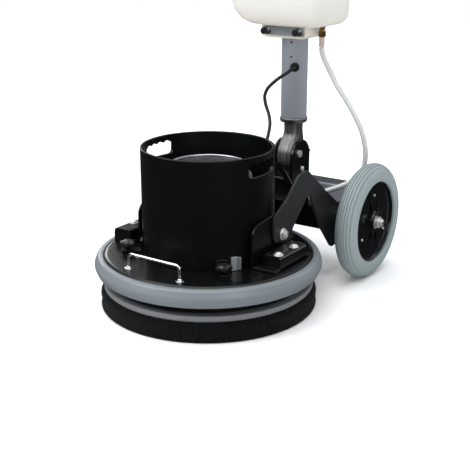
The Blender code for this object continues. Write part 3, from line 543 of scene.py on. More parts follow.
def taken(block, *tools):
    """A helper object's mesh with its modifiers worked in, as a form; the helpers are thrown away."""
    bpy.context.view_layer.update()
    depsgraph = bpy.context.evaluated_depsgraph_get()
    form = bmesh.new()
    form.from_mesh(block.evaluated_get(depsgraph).to_mesh())
    for spare in (block, *tools):
        bpy.data.objects.remove(spare, do_unlink=True)
    return form


def cast_whole(form, grain, rounds):
    """Overlapping forms run together into one skin with soft inner corners."""
    block = piece("blank", form, None, None)
    skin = block.modifiers.new("skin", "REMESH")
    skin.mode = "VOXEL"
    skin.voxel_size = grain
    soft = block.modifiers.new("soft", "SMOOTH")
    soft.iterations = rounds
    return taken(block)


def socket_screw(name, at, axis, radius, height, body, finish="steel"):
    """A domed screw head with its drive recess."""
    dome = [(radius * sin(t), height * (0.35 + 0.65 * cos(t)))
        for t in (radians(90 - 9 * k) for k in range(8))]
    recess = radius * 0.42
    profile = [(0, -height * 0.2), (radius, -height * 0.2), (radius, height * 0.3)] + dome[1:]
    profile += [(recess, height * 0.92), (recess * 0.9, height * 0.35), (0, height * 0.3)]
    piece(name, turned(profile, 32, at, axis), finish, body, crease=40)


def hexagon(radius, low, high, at, axis):
    """A hexagon nut, across its corners 2 x radius."""
    outline = [(radius * cos(tau * k / 6), radius * sin(tau * k / 6)) for k in range(6)]
    return place(prism(outline, low, high), axis, at)


# ------------------------------------------------------------------ where things are
def size(node):
    """A node's two corners, as vectors."""
    return [Vector(corner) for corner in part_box(node)]


PAD_HIGH = size("floor_pad")[1]
DRIVER_LOW, DRIVER_HIGH = size("pad_driver")
DECK_LOW, DECK_HIGH = size("deck_plate")
BUMPER_LOW, BUMPER_HIGH = size("bumper_ring")
SLEEVE_LOW, SLEEVE_HIGH = size("motor_sleeve")
CAN_LOW, CAN_HIGH = size("motor_frame")
TUBE_LOW, TUBE_HIGH = size("column_tube")
GROMMET_LOW, GROMMET_HIGH = size("cord_grommet")
STRAP_LOW, STRAP_HIGH = size("tank_strap")
HEAD_HIGH = size("head_housing")[1]

DECK_TOP = DECK_HIGH.z
SLEEVE_R = SLEEVE_HIGH.x
TUBE_R = TUBE_HIGH.x
COLUMN_Y = (TUBE_LOW.y + TUBE_HIGH.y) / 2
GROMMET_Z = (GROMMET_LOW.z + GROMMET_HIGH.z) / 2
AXLE_Y, AXLE_Z = 0.305, 0.1225
TILT_Y, TILT_Z = 0.3, 0.245
FLOAT_Y, FLOAT_Z = 0.046, 0.153
GAP = 0.0003


# ------------------------------------------------------------------ free leads
LEAD_D, HOSE_D = 0.0072, 0.011
LEAD_UPPER = [(0.018, 0.2907, 0.432), (0.016, 0.2805, 0.429), (0.0082, 0.2706, 0.421),
    (-0.003, 0.262, 0.412), (-0.014, 0.2555, 0.4015), (-0.024, 0.25, 0.389), (-0.028, 0.246, 0.374),
    (-0.0235, 0.243, 0.357), (-0.013, 0.238, 0.34), (-0.0035, 0.229, 0.321), (0.0, 0.217, 0.2985),
    (-0.002, 0.205, 0.27), (-0.002, 0.193, 0.235), (0.0, 0.1865, 0.205), (0.0, 0.186, 0.1803),]
HOSE_UPPER = [(0.066, 0.318, 0.4744), (0.0672, 0.3188, 0.464), (0.0738, 0.32, 0.447),
    (0.0865, 0.3205, 0.426), (0.105, 0.3215, 0.396), (0.125, 0.325, 0.368), (0.145, 0.331, 0.334),
    (0.158, 0.337, 0.303), (0.164, 0.344, 0.268), (0.1635, 0.347, 0.238), (0.1575, 0.344, 0.213),
    (0.143, 0.333, 0.195), (0.123, 0.312, 0.183), (0.108, 0.286, 0.178), (0.1, 0.255, 0.176),
    (0.098, 0.23, 0.176), (0.098, 0.207, 0.176),]
LEAD_LOWER = ([(0.0, 0.1553, 0.135)] + quarter_bend(0.0, (0.158, 0.163), 0.028, -pi / 2, 0)
    + [(0.0, 0.186, 0.1657)])
HOSE_LOWER = ([(0.098, 0.1952, 0.176)] + quarter_bend(0.098, (0.1915, 0.132), 0.044, pi / 2, pi)
    + [(0.098, 0.1475, 0.1286)])


def free_lead(name, points, width, finish, node):
    """A flexible lead as one fixed tube along its route, on no body."""
    lead = piece(name, swept(points, width / 2, 24), finish, None, node)
    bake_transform(lead)


free_lead("lead_to_motor_upper", smooth_route(LEAD_UPPER, 0.004), LEAD_D, "black_rubber",
    "lead_upper")
free_lead("hose_to_deck_upper", smooth_route(HOSE_UPPER, 0.005), HOSE_D, "clear_hose",
    "hose_upper")
free_lead("lead_to_motor_lower", smooth_route(LEAD_LOWER, 0.003), LEAD_D, "black_rubber",
    "lead_lower")
free_lead("hose_to_deck_lower", list(reversed(smooth_route(HOSE_LOWER, 0.004))), HOSE_D, "clear_hose",
    "hose_lower")


# ------------------------------------------------------------------ pad, driver and deck
def floor_pad():
    """The thick soft pad: a frayed edge, a rounded top corner and a shallow dish above."""
    radius, top = PAD_HIGH.x, PAD_HIGH.z
    section = [(0, 0), (0.06, 0), (0.12, 0), (0.17, 0), (radius - 0.01, 0), (radius - 0.003, 0.0006),
        (radius - 0.0006, 0.003)]
    section += [(radius - 0.0004 - 0.001 * sin(pi * k / 8), 0.004 + k * (top - 0.013) / 8)
        for k in range(9)]
    section += [(radius - 0.0015, top - 0.006), (radius - 0.0038, top - 0.0028),
        (radius - 0.0072, top - 0.0008), (radius - 0.011, top), (0.12, top - 0.0004), (0, top - 0.0004)]

    def frayed(t, r, z):
        if r < radius - 0.02:
            return r
        fray = sin(t * 97 + z * 900) * sin(t * 61 - z * 700) + 0.6 * sin(t * 211 + z * 1500)
        return r + 0.00045 * fray - 0.0004

    piece("burnishing_pad", turned(section, 360, scallop=frayed), "pad_fibre", "rotor", "floor_pad",
        crease=60)


def pad_driver():
    """The driver: a rim with rounded lips round a web and a hub, all turned in one."""
    r, low, high = DRIVER_HIGH.x, DRIVER_LOW.z, DRIVER_HIGH.z
    rim_top = 0.0512
    section = rounded([(0, low), (0.205, low), (0.205, 0.0412), (r, 0.0412, 0.0016),
        (r, rim_top, 0.0024), (0.05, rim_top), (0.05, 0.06, 0.003), (0.028, 0.064, 0.003),
        (0.024, high, 0.002), (0.0106, high), (0.0106, 0.0515), (0, 0.0515)], 5)
    piece("driver_plate", turned(section, 192), "driver_grey", "rotor", "pad_driver")


def deck():
    """The spun deck: a flat top with a rolled outer edge and a skirt below."""
    r, top = DECK_HIGH.x, DECK_TOP
    base, skirt, under, bore = 0.0704, 0.198, 0.0976, 0.04
    section = rounded([(bore, under), (skirt - 0.006, under, 0.006), (skirt - 0.006, DECK_LOW.z, 0.001),
        (skirt, DECK_LOW.z, 0.002), (skirt, base, 0.002), (r, base, 0.002), (r, top - 0.0034, 0.0014),
        (r - 0.006, top, 0.008), (bore, top)], 6)
    piece("deck_pan", turned(section, 192), "black_paint", "deck", "deck_plate")


def bumper():
    """The grey bumper round the deck: a fat D in section."""
    inner, r = DECK_HIGH.x + GAP, BUMPER_HIGH.x
    low, top = BUMPER_LOW.z, BUMPER_HIGH.z
    middle = (low + top) / 2
    section = rounded([(inner, low + 0.0015, 0.001), (r - 0.006, low, 0.006),
        (r, middle - 0.004, 0.012), (r, middle + 0.003, 0.01), (r - 0.0065, top, 0.0075),
        (inner, top, 0.0012)], 8)
    piece("bumper", turned(section, 256), "grey_rubber", "deck", "bumper_ring")


# ------------------------------------------------------------------ sleeve and motor
HOLE_HALF, HOLE_BASE, HOLE_TOP = 0.042, 0.2785, 0.3038


def motor_sleeve():
    """The rolled sleeve with a finger-grip hand hole on each side."""
    wall, fingers, steps = 0.006, 4, 10
    low, top = SLEEVE_LOW.z, SLEEVE_HIGH.z
    section = oblong(SLEEVE_R - wall, low, SLEEVE_R, top, (0.001, 0.001, 0.0018, 0.0018), 4)
    scallops = []
    for k in range(fingers * steps + 1):
        along = HOLE_HALF - 0.005 - (2 * HOLE_HALF - 0.01) * k / (fingers * steps)
        scallops.append((along, HOLE_TOP + 0.0035 * abs(sin(pi * k / steps))))
    hole = rounded([(-HOLE_HALF, HOLE_TOP, 0.0045), (-HOLE_HALF, HOLE_BASE, 0.009),
        (HOLE_HALF, HOLE_BASE, 0.009), (HOLE_HALF, HOLE_TOP, 0.0045)], 6)
    outline = [p for p in hole if p[1] < HOLE_TOP - 0.001 or abs(p[0]) > HOLE_HALF - 0.0046] + scallops
    gland = cylinder(0.0083, 0.1, 0.15, 32, (0, 0, 0.135), Y)
    shell = carved(turned(section, 240), prism(outline, -0.15, 0.15, "yz"), gland)
    piece("sleeve", shell, "satin_black", "deck", "motor_sleeve", edge=0.0007, steps=2)


def motor_inside():
    """What shows down the sleeve: the finned can, its bright rolled rim and the meshed guard."""
    r, top = CAN_HIGH.x, CAN_HIGH.z
    wall = 0.0035
    section = rounded([(r - wall, CAN_LOW.z), (r, CAN_LOW.z), (r, top - 0.006, 0.001),
        (r - 0.001, top - 0.005), (r - 0.001, top - 0.001, 0.0008), (r - wall, top - 0.001, 0.0008)], 4)
    piece("motor_can", turned(section, 128), "grey_paint", "deck", "motor_frame")
    rim = oblong(r - wall - 0.0006, top - 0.003, r + 0.0006, top + 0.0012, (0, 0.001, 0.0018, 0.0018),
        5)
    piece("guard_rim", turned(rim, 128), "rolled_rim", "deck")
    fins = []
    count = 30
    for k in range(count):
        t = tau * (k + 0.5) / count
        fin = prism(rounded([(r - 0.0005, 0.138), (r + 0.009, 0.142, 0.004), (r + 0.009, 0.262, 0.006),
            (r - 0.0005, 0.268)], 4), -0.0011, 0.0011, "xz")
        fin.transform(Matrix.Rotation(t, 4, "Z"))
        if abs(cos(t)) < 0.42 and sin(t) > 0:
            fin.free()
            continue
        fins.append(fin)
    piece("cooling_fins", merged(*fins), "grey_paint", "deck", edge=0.0003, steps=1)

    pitch, hole = 0.0062, 0.62
    plate_r = r - wall - 0.0014
    form = bmesh.new()
    corner_of = {}

    def corner(x, y):
        key = (round(x * 1e5), round(y * 1e5))
        if key not in corner_of:
            corner_of[key] = form.verts.new((x, y, 0.2803 - 0.0018 * (hypot(x, y) / plate_r) ** 2))
        return corner_of[key]

    reach = int(plate_r / pitch) + 2
    for row in range(-reach, reach + 1):
        for column in range(-reach, reach + 1):
            x = (column + 0.5 * (row % 2)) * pitch
            y = row * pitch * sqrt(3) / 2
            if hypot(x, y) > plate_r - pitch * 0.45 or hypot(x, y) < 0.0165:
                continue
            side = pitch / sqrt(3)
            ends = [(sin(tau * k / 6), cos(tau * k / 6)) for k in range(6)]
            outer = [corner(x + side * u, y + side * v) for u, v in ends]
            inner = [corner(x + side * hole * u, y + side * hole * v) for u, v in ends]
            for k in range(6):
                n = (k + 1) % 6
                form.faces.new((outer[k], outer[n], inner[n], inner[k]))
    mesh = piece("guard_mesh", form, "guard_wire", "deck", "fan_cover", crease=60)
    thick = mesh.modifiers.new("sheet", "SOLIDIFY")
    thick.thickness = 0.0011
    thick.offset = -1.0
    hub = rounded([(0, 0.2772), (0.0195, 0.2772), (0.0195, 0.2806, 0.0008), (0.015, 0.2812, 0.0008),
        (0, 0.2812)], 3)
    piece("guard_hub", turned(hub, 48), "guard_wire", "deck")
    for k in range(3):
        t = tau * k / 3 + 0.5
        socket_screw(f"guard_screw_{k}", (0.0108 * cos(t), 0.0108 * sin(t), 0.2812), Z, 0.0022, 0.0014,
            "deck")


def terminal_box():
    """The motor's connection box with its lid and four screws."""
    low, high = size("terminal_box")
    body = slab(low, Vector((high.x, high.y, high.z - 0.01)))
    piece("terminal_case", body, "black_plastic", "deck", "terminal_box", edge=0.003)
    lid = slab(Vector((low.x - 0.0015, low.y, high.z - 0.0098)),
        Vector((high.x + 0.0015, high.y - 0.0005, high.z)))
    piece("terminal_lid", lid, "black_plastic", "deck", edge=0.0025)
    for k, (u, v) in enumerate(((0.12, 0.16), (0.88, 0.16), (0.12, 0.84), (0.88, 0.84))):
        at = (low.x + (high.x - low.x) * u, low.y + (high.y - low.y) * v, high.z)
        socket_screw(f"terminal_screw_{k}", at, Z, 0.0026, 0.0016, "deck")


def lead_gland():
    """The ribbed rubber boot where the lead goes through the sleeve."""
    low, high = size("lead_gland")
    wall = SLEEVE_R + GAP
    section = [(0, low.y), (0.0078, low.y), (0.0078, wall), (0.0118, wall), (0.0122, wall + 0.001),
        (0.0122, wall + 0.006), (0.0112, wall + 0.0075)]
    ribs = 5
    for k in range(ribs):
        along = wall + 0.008 + k * (high.y - wall - 0.0095) / ribs
        fat = 0.01 - 0.0046 * k / ribs
        section += [(fat, along), (fat, along + 0.0016), (fat - 0.0016, along + 0.002),
            (fat - 0.0016, along + 0.003)]
    section += [(0.0042, high.y), (0, high.y)]
    piece("lead_boot", turned(section, 48, (0, 0, 0.135), Y), "black_rubber", "deck", "lead_gland",
        crease=50)


def pull_handle():
    """The chromed pull bar with its two feet."""
    low, high = size("pull_handle")
    rod = 0.003
    y = (low.y + high.y) / 2
    x, top = high.x - rod, high.z - rod
    corners = rounded([(-x, DECK_TOP), (-x, top, 0.009), (x, top, 0.009), (x, DECK_TOP)], 12)
    piece("pull_bar", swept([(u, y, v) for u, v in corners], rod, 28), "chrome", "deck", "pull_handle")
    for side, sign in SIDES:
        foot = rounded([(0, DECK_TOP - 0.0002), (0.0082, DECK_TOP - 0.0002),
            (0.0082, DECK_TOP + 0.001, 0.0004), (0.0056, DECK_TOP + 0.0014, 0.0006),
            (0.0044, DECK_TOP + 0.0046, 0.001), (0, DECK_TOP + 0.0046)], 3)
        piece("pull_foot_" + side, turned(foot, 40, (sign * x, y, 0)), "chrome", "deck")


def five_lobes(t, r, z):
    return r * (1 + 0.13 * cos(5 * t)) if r > 0.0095 else r


def sleeve_clamps():
    """The toggle clamps that hold the sleeve to the deck, each with its black knob."""
    for name, turn, out in (("left", radians(218.1), 0.029), ("right", radians(316.5), 0.0195)):
        frame_at = Matrix.Rotation(turn, 4, "Z")
        base = prism(rounded([(SLEEVE_R + 0.0004, -0.013), (SLEEVE_R + out + 0.013, -0.011, 0.005),
            (SLEEVE_R + out + 0.013, 0.011, 0.005), (SLEEVE_R + 0.0004, 0.013)], 5), DECK_TOP + GAP,
            DECK_TOP + 0.0036)
        tab = prism(oblong(SLEEVE_R + 0.0004, DECK_TOP + 0.003, SLEEVE_R + 0.004, DECK_TOP + 0.024,
            (0, 0, 0.0015, 0), 3), -0.011, 0.011, "xz")
        post = cylinder(0.0042, DECK_TOP, DECK_TOP + 0.014, 24, (SLEEVE_R + out, 0, 0))
        bracket = merged(base, tab, post)
        bracket.transform(frame_at)
        piece("clamp_bracket_" + name, bracket, "satin_black", "deck", edge=0.0007)
        profile = [(0, 0.0), (0.009, 0.0), (0.0135, 0.002), (0.015, 0.006), (0.0135, 0.0105),
            (0.008, 0.0128), (0, 0.0132)]
        lobes = turned(profile, 80, scallop=five_lobes)
        lobes.transform(frame_at @ Matrix.Translation((SLEEVE_R + out, 0, DECK_TOP + 0.009)))
        piece("clamp_knob_" + name, lobes, "black_plastic", "deck", crease=50)
    base_z, top_z = DECK_TOP + 0.0006, DECK_TOP + 0.027
    turn = Matrix.Rotation(radians(328.0), 4, "Z")
    for k, (near, far, wide) in enumerate(((-0.0085, 0.0035, 0.0052), (0.005, 0.0072, 0.0056),
            (0.0086, 0.0108, 0.0056))):
        bar = prism([(SLEEVE_R + 0.0006, near), (SLEEVE_R + wide, near), (SLEEVE_R + wide, far),
            (SLEEVE_R + 0.0006, far)], base_z, top_z - 0.001 * k)
        bar.transform(turn)
        piece(f"hold_down_bar_{k}", bar, "zinc", "deck", edge=0.0006)


# front end, back end and outer side of each bracket's box
BOX_ENDS = {"left": (-0.065, 0.078, 0.19), "right": (-0.03, 0.068, 0.186)}


def brackets():
    """The bolted-down boxes and the lugs that the side plates turn on."""
    for side, sign in SIDES:
        front, back, outer = BOX_ENDS[side]
        inner, outer = sign * 0.147, sign * outer
        base, box_top = DECK_TOP + GAP, 0.136
        foot = slab((sign * 0.1335, -0.05, base), (outer, 0.081, base + 0.006))
        box_outline = oblong(inner, base, outer, box_top, (0, 0, 0.009, 0.006), 8)
        box = prism(box_outline, front, back, "xz")
        plate = prism(rounded([(-0.05, base), (-0.05, 0.19, 0.024), (0.03, 0.198, 0.04),
            (0.08, 0.15, 0.02), (0.08, base)], 10), *sorted((sign * 0.1335, sign * 0.1385)), "yz")
        form = merged(foot, box, plate)
        piece("deck_bracket_" + side, form, "satin_black", "deck", "bracket_" + side, edge=0.0012,
            steps=3)
        for k, y in enumerate((-0.02, 0.036)):
            at = (sign * 0.1755, y, box_top)
            washer = oblong(0, -0.0003, 0.0092, 0.0012, (0, 0, 0.0004, 0), 3)
            piece(f"bracket_washer_{side}_{k}", turned(washer, 40, at), "steel", "deck")
            socket_screw(f"bracket_screw_{side}_{k}", (at[0], at[1], box_top + 0.0012), Z, 0.0064,
                0.0046, "deck")
        outside, pivot, out = 0.1441, (0, FLOAT_Y, FLOAT_Z), (sign, 0, 0)
        flange = oblong(0, outside, 0.0122, outside + 0.0016, (0, 0, 0.0005, 0), 3)
        nut = hexagon(0.0098, outside + 0.0014, outside + 0.0072, pivot, out)
        stub = oblong(0.0026, outside + 0.006, 0.0052, outside + 0.0084, (0, 0, 0.0006, 0), 2)
        shank = cylinder(0.006, 0.1305, outside + 0.002, 32, pivot, out)
        form = merged(nut, turned(flange, 48, pivot, out), turned(stub, 32, pivot, out), shank)
        piece("pivot_screw_" + side, form, "steel", "deck", "pivot_bolt_" + side, edge=0.0005)


def water_inlet():
    """The barbed inlet on the deck that the hose is clipped to."""
    low, high = size("water_inlet")
    x, y = (low.x + high.x) / 2, (low.y + high.y) / 2
    section = rounded([(0, DECK_TOP + GAP), (0.01, DECK_TOP + GAP), (0.01, 0.115, 0.001),
        (0.0066, 0.1165), (0.0066, 0.119), (0.0058, 0.1192), (0.0062, 0.1218), (0.0056, 0.1222),
        (0.006, 0.125), (0.0054, 0.1254), (0.0057, high.z), (0, high.z)], 3)
    piece("hose_barb", turned(section, 48, (x, y, 0)), "black_plastic", "deck", "water_inlet")
    crimp = oblong(HOSE_D / 2 - 0.0004, 0.13, HOSE_D / 2 + 0.0012, 0.1375, (0, 0.0004, 0.0004, 0), 2)
    piece("hose_clip_band", turned(crimp, 40, (x, y + 0.0004, 0)), "steel", "deck")


# ------------------------------------------------------------------ chassis
def side_plates():
    """The wishbone plates from the pivots on the deck up over the beam and down to the axle."""
    outline = rounded([(0.017, 0.142, 0.01), (0.014, 0.193, 0.02), (0.062, 0.219, 0.06),
        (0.106, 0.257, 0.02), (0.137, 0.262, 0.02), (0.214, 0.201, 0.04), (0.268, 0.162, 0.03),
        (0.335, 0.158, 0.026), (0.345, 0.085, 0.03), (0.246, 0.068, 0.016), (0.196, 0.126, 0.03),
        (0.146, 0.213, 0.008), (0.086, 0.156, 0.02), (0.069, 0.132, 0.012)], 12)
    for side, sign in SIDES:
        low, high = size("side_plate_" + side)
        piece("wishbone_" + side, prism(outline, low.x, high.x, "yz"), "charcoal_plate", "chassis",
            "side_plate_" + side, edge=0.0008)


def cross_members():
    """The front panel with its two cord clips, the beam, its brace and wedge, and the foot step."""
    wide = size("cross_panel")[1].x
    panel = slab((-wide, 0.199, 0.121), (wide, 0.203, 0.168))
    hose_clip = slab((0.088, 0.1955, 0.164), (0.108, 0.2067, 0.186))
    lead_clip = slab((-0.008, 0.179, 0.166), (0.008, 0.201, 0.18))
    foot = slab((-0.006, 0.195, 0.15), (0.006, 0.201, 0.172))
    piece("front_panel", merged(panel, hose_clip, lead_clip, foot), "satin_black", "chassis",
        "cross_panel", edge=0.0009)
    beam = slab((-wide, 0.236, 0.128), (wide, 0.2745, 0.158))
    web = prism([(0.266, 0.15), (0.266, 0.193), (0.27, 0.196), (0.324, 0.174), (0.324, 0.168),
        (0.268, 0.15)], -0.0197, 0.0197, "yz")
    brace = prism([(-0.004, 0.232), (0.004, 0.232), (0.062, 0.15), (0.048, 0.15), (0.0, 0.214),
        (-0.048, 0.15), (-0.062, 0.15)], 0.2592, 0.2632, "xz")
    piece("main_beam", merged(beam, web, brace), "satin_black", "chassis", "cross_beam", edge=0.0005)
    step_low, step_high = size("step_plate")
    outline = rounded([(step_low.y, step_low.z), (0.353, step_low.z), (0.353, 0.171, 0.003),
        (step_high.y, 0.171, 0.0008), (step_high.y, step_high.z, 0.0014),
        (step_low.y, step_high.z, 0.005)], 6)
    ribs = [slab((-wide + 0.016, y - 0.0011, step_high.z + 0.0006), (wide - 0.016, y + 0.0011,
        step_high.z + 0.0018)) for y in (0.361, 0.368, 0.375, 0.382, 0.389)]
    piece("foot_step", prism(outline, -wide, wide, "yz"), "grey_paint", "chassis", "step_plate",
        edge=0.0004, steps=2)
    mat = slab((-wide + 0.006, step_low.y + 0.004, step_high.z + 0.0001),
        (wide - 0.006, step_high.y - 0.003, step_high.z + 0.001))
    piece("step_mat", merged(mat, *ribs), "step_grey", "chassis", edge=0.0003, steps=2)
    for side, sign in SIDES:
        socket_screw(f"beam_screw_{side}", (sign * 0.06, 0.249, 0.158), Z, 0.0052, 0.0036, "chassis")


def cheeks():
    """The two upright plates that the column turns between, and the screws on them."""
    outline = rounded([(0.275, 0.2, 0.02), (0.275, 0.273, 0.0365), (0.349, 0.273, 0.0365),
        (0.349, 0.19, 0.03), (0.335, 0.096, 0.024), (0.276, 0.096, 0.024)], 14)
    for side, sign in SIDES:
        low, high = size("cheek_" + side)
        piece("pivot_cheek_" + side, prism(outline, low.x, high.x, "yz"), "black_paint", "chassis",
            "cheek_" + side, edge=0.0009)
        face = high.x if sign > 0 else low.x
        socket_screw("cheek_screw_" + side, (face, 0.316, 0.208), (sign, 0, 0), 0.0058, 0.0044,
            "chassis")
        pin = "tilt_pin_head" if sign < 0 else "tilt_pin_end"
        socket_screw(pin, (face, TILT_Y, TILT_Z), (sign, 0, 0), 0.0054, 0.0044, "chassis")
        socket_screw("edge_screw_" + side, (sign * 0.023, 0.349, 0.243), Y, 0.004, 0.004, "chassis")


def axle():
    """The stepped axle with its spacer tubes, washers and lock nuts."""
    at, step, stub = (0, AXLE_Y, AXLE_Z), 0.2228, 0.2325
    half = [(0.01, step, 0.0006), (0.006, step), (0.006, stub, 0.001)]
    shaft = rounded([(0, -stub)] + [(r[0], -r[1]) + r[2:] for r in reversed(half)] + half + [(0, stub)],
        3)
    piece("axle_shaft", turned(shaft, 48, at, X), "steel", "chassis", "axle")
    for side, sign in SIDES:
        out = (sign, 0, 0)
        spacer = oblong(0.0103, 0.1445, 0.014, 0.1755, (0, 0, 0.001, 0), 3)
        piece("axle_spacer_" + side, turned(spacer, 40, at, out), "steel", "chassis")
        washer = oblong(0.0062, 0.2232, 0.0122, 0.2246, (0, 0.0004, 0.0004, 0), 3)
        nut = hexagon(0.0092, 0.2244, 0.2304, at, out)
        piece("lock_nut_" + side, merged(turned(washer, 48, at, out), nut), "steel", "chassis",
            "axle_nut_" + side, edge=0.0006)
        plug = oblong(0, 0.2318, 0.0036, 0.2328, (0, 0, 0.0003, 0), 3)
        piece("axle_plug_" + side, turned(plug, 32, at, out), "black_plastic", "chassis")


# ------------------------------------------------------------------ wheels
def tyre_section(half, inner, crown):
    """Closed section of the tyre: round shoulders, seven shallow grooves and a bead at the rim."""
    grooves, width, depth = (-0.0165, -0.011, -0.0055, 0.0, 0.0055, 0.011, 0.0165), 0.001, 0.0024
    section = []
    steps = 220
    for k in range(steps + 1):
        t = pi * k / steps
        x = -half * cos(t)
        bulge = sin(t) ** 0.62
        r = inner + (crown - inner) * bulge
        for g in grooves:
            r -= depth * max(0.0, 1 - ((x - g) / width) ** 2)
        section.append((r, x))
    return [(inner, -half * 0.86)] + section[2:-2] + [(inner, half * 0.86)]


def wheels():
    """Grooved tyres on black discs with eight low ribs, a sealed bearing and three small screws."""
    for side, sign in SIDES:
        low, high = size("tyre_" + side)
        centre = (low + high) / 2
        half, crown = (high.x - low.x) / 2, (high.z - low.z) / 2
        inner = 0.0862  # where the tyre sits on the disc
        body = "wheel_" + side
        out = (sign, 0, 0)
        tyre = turned(tyre_section(half, inner, crown), 192, centre, X)
        piece("tyre_band_" + side, tyre, "tyre_rubber", body, "tyre_" + side, crease=42)
        felloe = inner - GAP
        rim = rounded([(0.0175, -0.0175), (0.024, -0.0175, 0.001), (0.024, -0.004, 0.002),
            (felloe - 0.006, -0.004, 0.002), (felloe - 0.005, -0.018, 0.001), (felloe, -0.018, 0.001),
            (felloe, 0.0158, 0.001), (felloe - 0.0022, 0.0158, 0.001), (felloe - 0.005, 0.0125, 0.002),
            (0.033, 0.0125, 0.004), (0.0215, 0.016, 0.003), (0.0195, 0.0212, 0.0012),
            (0.0142, 0.0212, 0.0006), (0.0142, 0.0196), (0.0175, 0.0196)], 4)
        spokes = []
        count = 8
        for k in range(count):
            t = tau * (k + 0.5) / count
            rib = prism([(0.021, 0.011), (0.0785, 0.011), (0.0785, 0.0134), (0.046, 0.014),
                (0.021, 0.0176)], -0.0009, 0.0009, "xz")
            rib.transform(Matrix.Rotation(t, 4, "Z"))
            spokes.append(place(rib, out, centre))
        piece("wheel_disc_" + side, merged(turned(rim, 128, centre, out), *spokes), "disc_black", body,
            "rim_" + side, edge=0.0004, steps=2)
        hub = rounded([(0.0103, -0.0175), (0.0172, -0.0175), (0.0172, 0.0192, 0.0005),
            (0.015, 0.0192, 0.0003), (0.0145, 0.0182, 0.0003), (0.0125, 0.0182, 0.0003),
            (0.012, 0.0192, 0.0003), (0.0103, 0.0192)], 3)
        piece("hub_bearing_" + side, turned(hub, 64, centre, out), "steel", body, "bearing_" + side)
        for k in range(3):
            t = radians(90 + 120 * k)
            at = centre + Vector((sign * 0.0124, 0.057 * cos(t), 0.057 * sin(t)))
            socket_screw(f"disc_screw_{side}_{k}", at, out, 0.003, 0.0024, body)


# ------------------------------------------------------------------ column
def column_casting():
    """The cast foot of the column: boss, flared body, stem and the collar the tube sits on."""
    levels = eased([
        # height, front, rear, half the width, corner radius
        (0.3125, 0.2996, 0.3404, 0.0204, 0.02), (0.302, 0.2996, 0.3404, 0.0204, 0.02),
        (0.2955, 0.2998, 0.3402, 0.0195, 0.0185), (0.285, 0.2998, 0.34, 0.0194, 0.016),
        (0.276, 0.296, 0.3395, 0.0194, 0.012), (0.268, 0.2905, 0.3385, 0.0194, 0.0095),
        (0.26, 0.2852, 0.337, 0.0194, 0.0078), (0.252, 0.2815, 0.335, 0.0194, 0.0066),
        (0.244, 0.28, 0.333, 0.0194, 0.006), (0.23, 0.2802, 0.329, 0.0194, 0.006),
        (0.22, 0.2835, 0.323, 0.0194, 0.006), (0.215, 0.289, 0.315, 0.0186, 0.006)], 4)
    form = bmesh.new()
    rings = []
    for z, front, rear, half, r in levels:
        outline = oblong(-half, front, half, rear, (r, r, r, r), 8)
        rings.append([form.verts.new((x, y, z)) for x, y in outline])
    lofted(form, rings)
    pin = cylinder(0.0084, -0.05, 0.05, 48, (0, TILT_Y, TILT_Z), X)
    piece("column_foot", carved(form, pin), "cast_aluminium", "column", "column_casting", crease=60)
    base, r = 0.3108, 0.0305
    collar = rounded([(0, base), (0.029, base, 0.0012), (0.03, base + 0.005, 0.0008),
        (r, base + 0.0056, 0.0006), (r, base + 0.0094, 0.001), (0.0282, base + 0.0098, 0.0006),
        (0, base + 0.0098)], 4)
    piece("column_collar", turned(collar, 128, (0, COLUMN_Y, 0)), "turned_collar", "column")


def column_tube():
    """The painted tube with its two small screws and the grommet where the lead comes out."""
    wall, top = 0.003, TUBE_HIGH.z
    section = oblong(TUBE_R - wall, TUBE_LOW.z, TUBE_R, top, (0, 0.0007, 0.0007, 0), 3)
    piece("column_pipe", turned(section, 128, (0, COLUMN_Y, 0)), "grey_paint", "column", "column_tube")

    def on_tube(turn, height):
        """A point on the tube's face, turned from the front towards the right, and the way out there."""
        out = Vector((sin(turn), -cos(turn), 0))
        return Vector((0, COLUMN_Y, height)) + out * TUBE_R, out

    for k, z in enumerate((0.484, 0.4535)):
        at, out = on_tube(radians(15), z)
        socket_screw(f"pipe_screw_{k}", at - out * 0.0002, out, 0.0021, 0.0014, "column",
            "black_plastic")
    section = rounded([(0, -0.005), (0.0077, -0.005), (0.0077, GAP), (0.01, GAP),
        (0.01, 0.0012, 0.0006), (0.0068, 0.0027, 0.001), (0.0048, 0.0012, 0.0005), (0.0036, 0.0024),
        (0, 0.0024)], 4)
    at, out = on_tube(radians(31.5), GROMMET_Z)
    piece("lead_grommet", turned(section, 64, at, out), "black_rubber", "column", "cord_grommet")


# ------------------------------------------------------------------ tank
TANK_Y, TANK_LEFT, TANK_RIGHT, TANK_L, TANK_R = 0.298, 0.1195, 0.1145, 0.077, 0.045
TANK_BASE, TANK_TOP = 0.522, 0.88
CAP_X, CAP_Y, NECK_TOP = 0.062, 0.27, 0.9
KNOB_X, KNOB_Z = 0.038, 0.5085


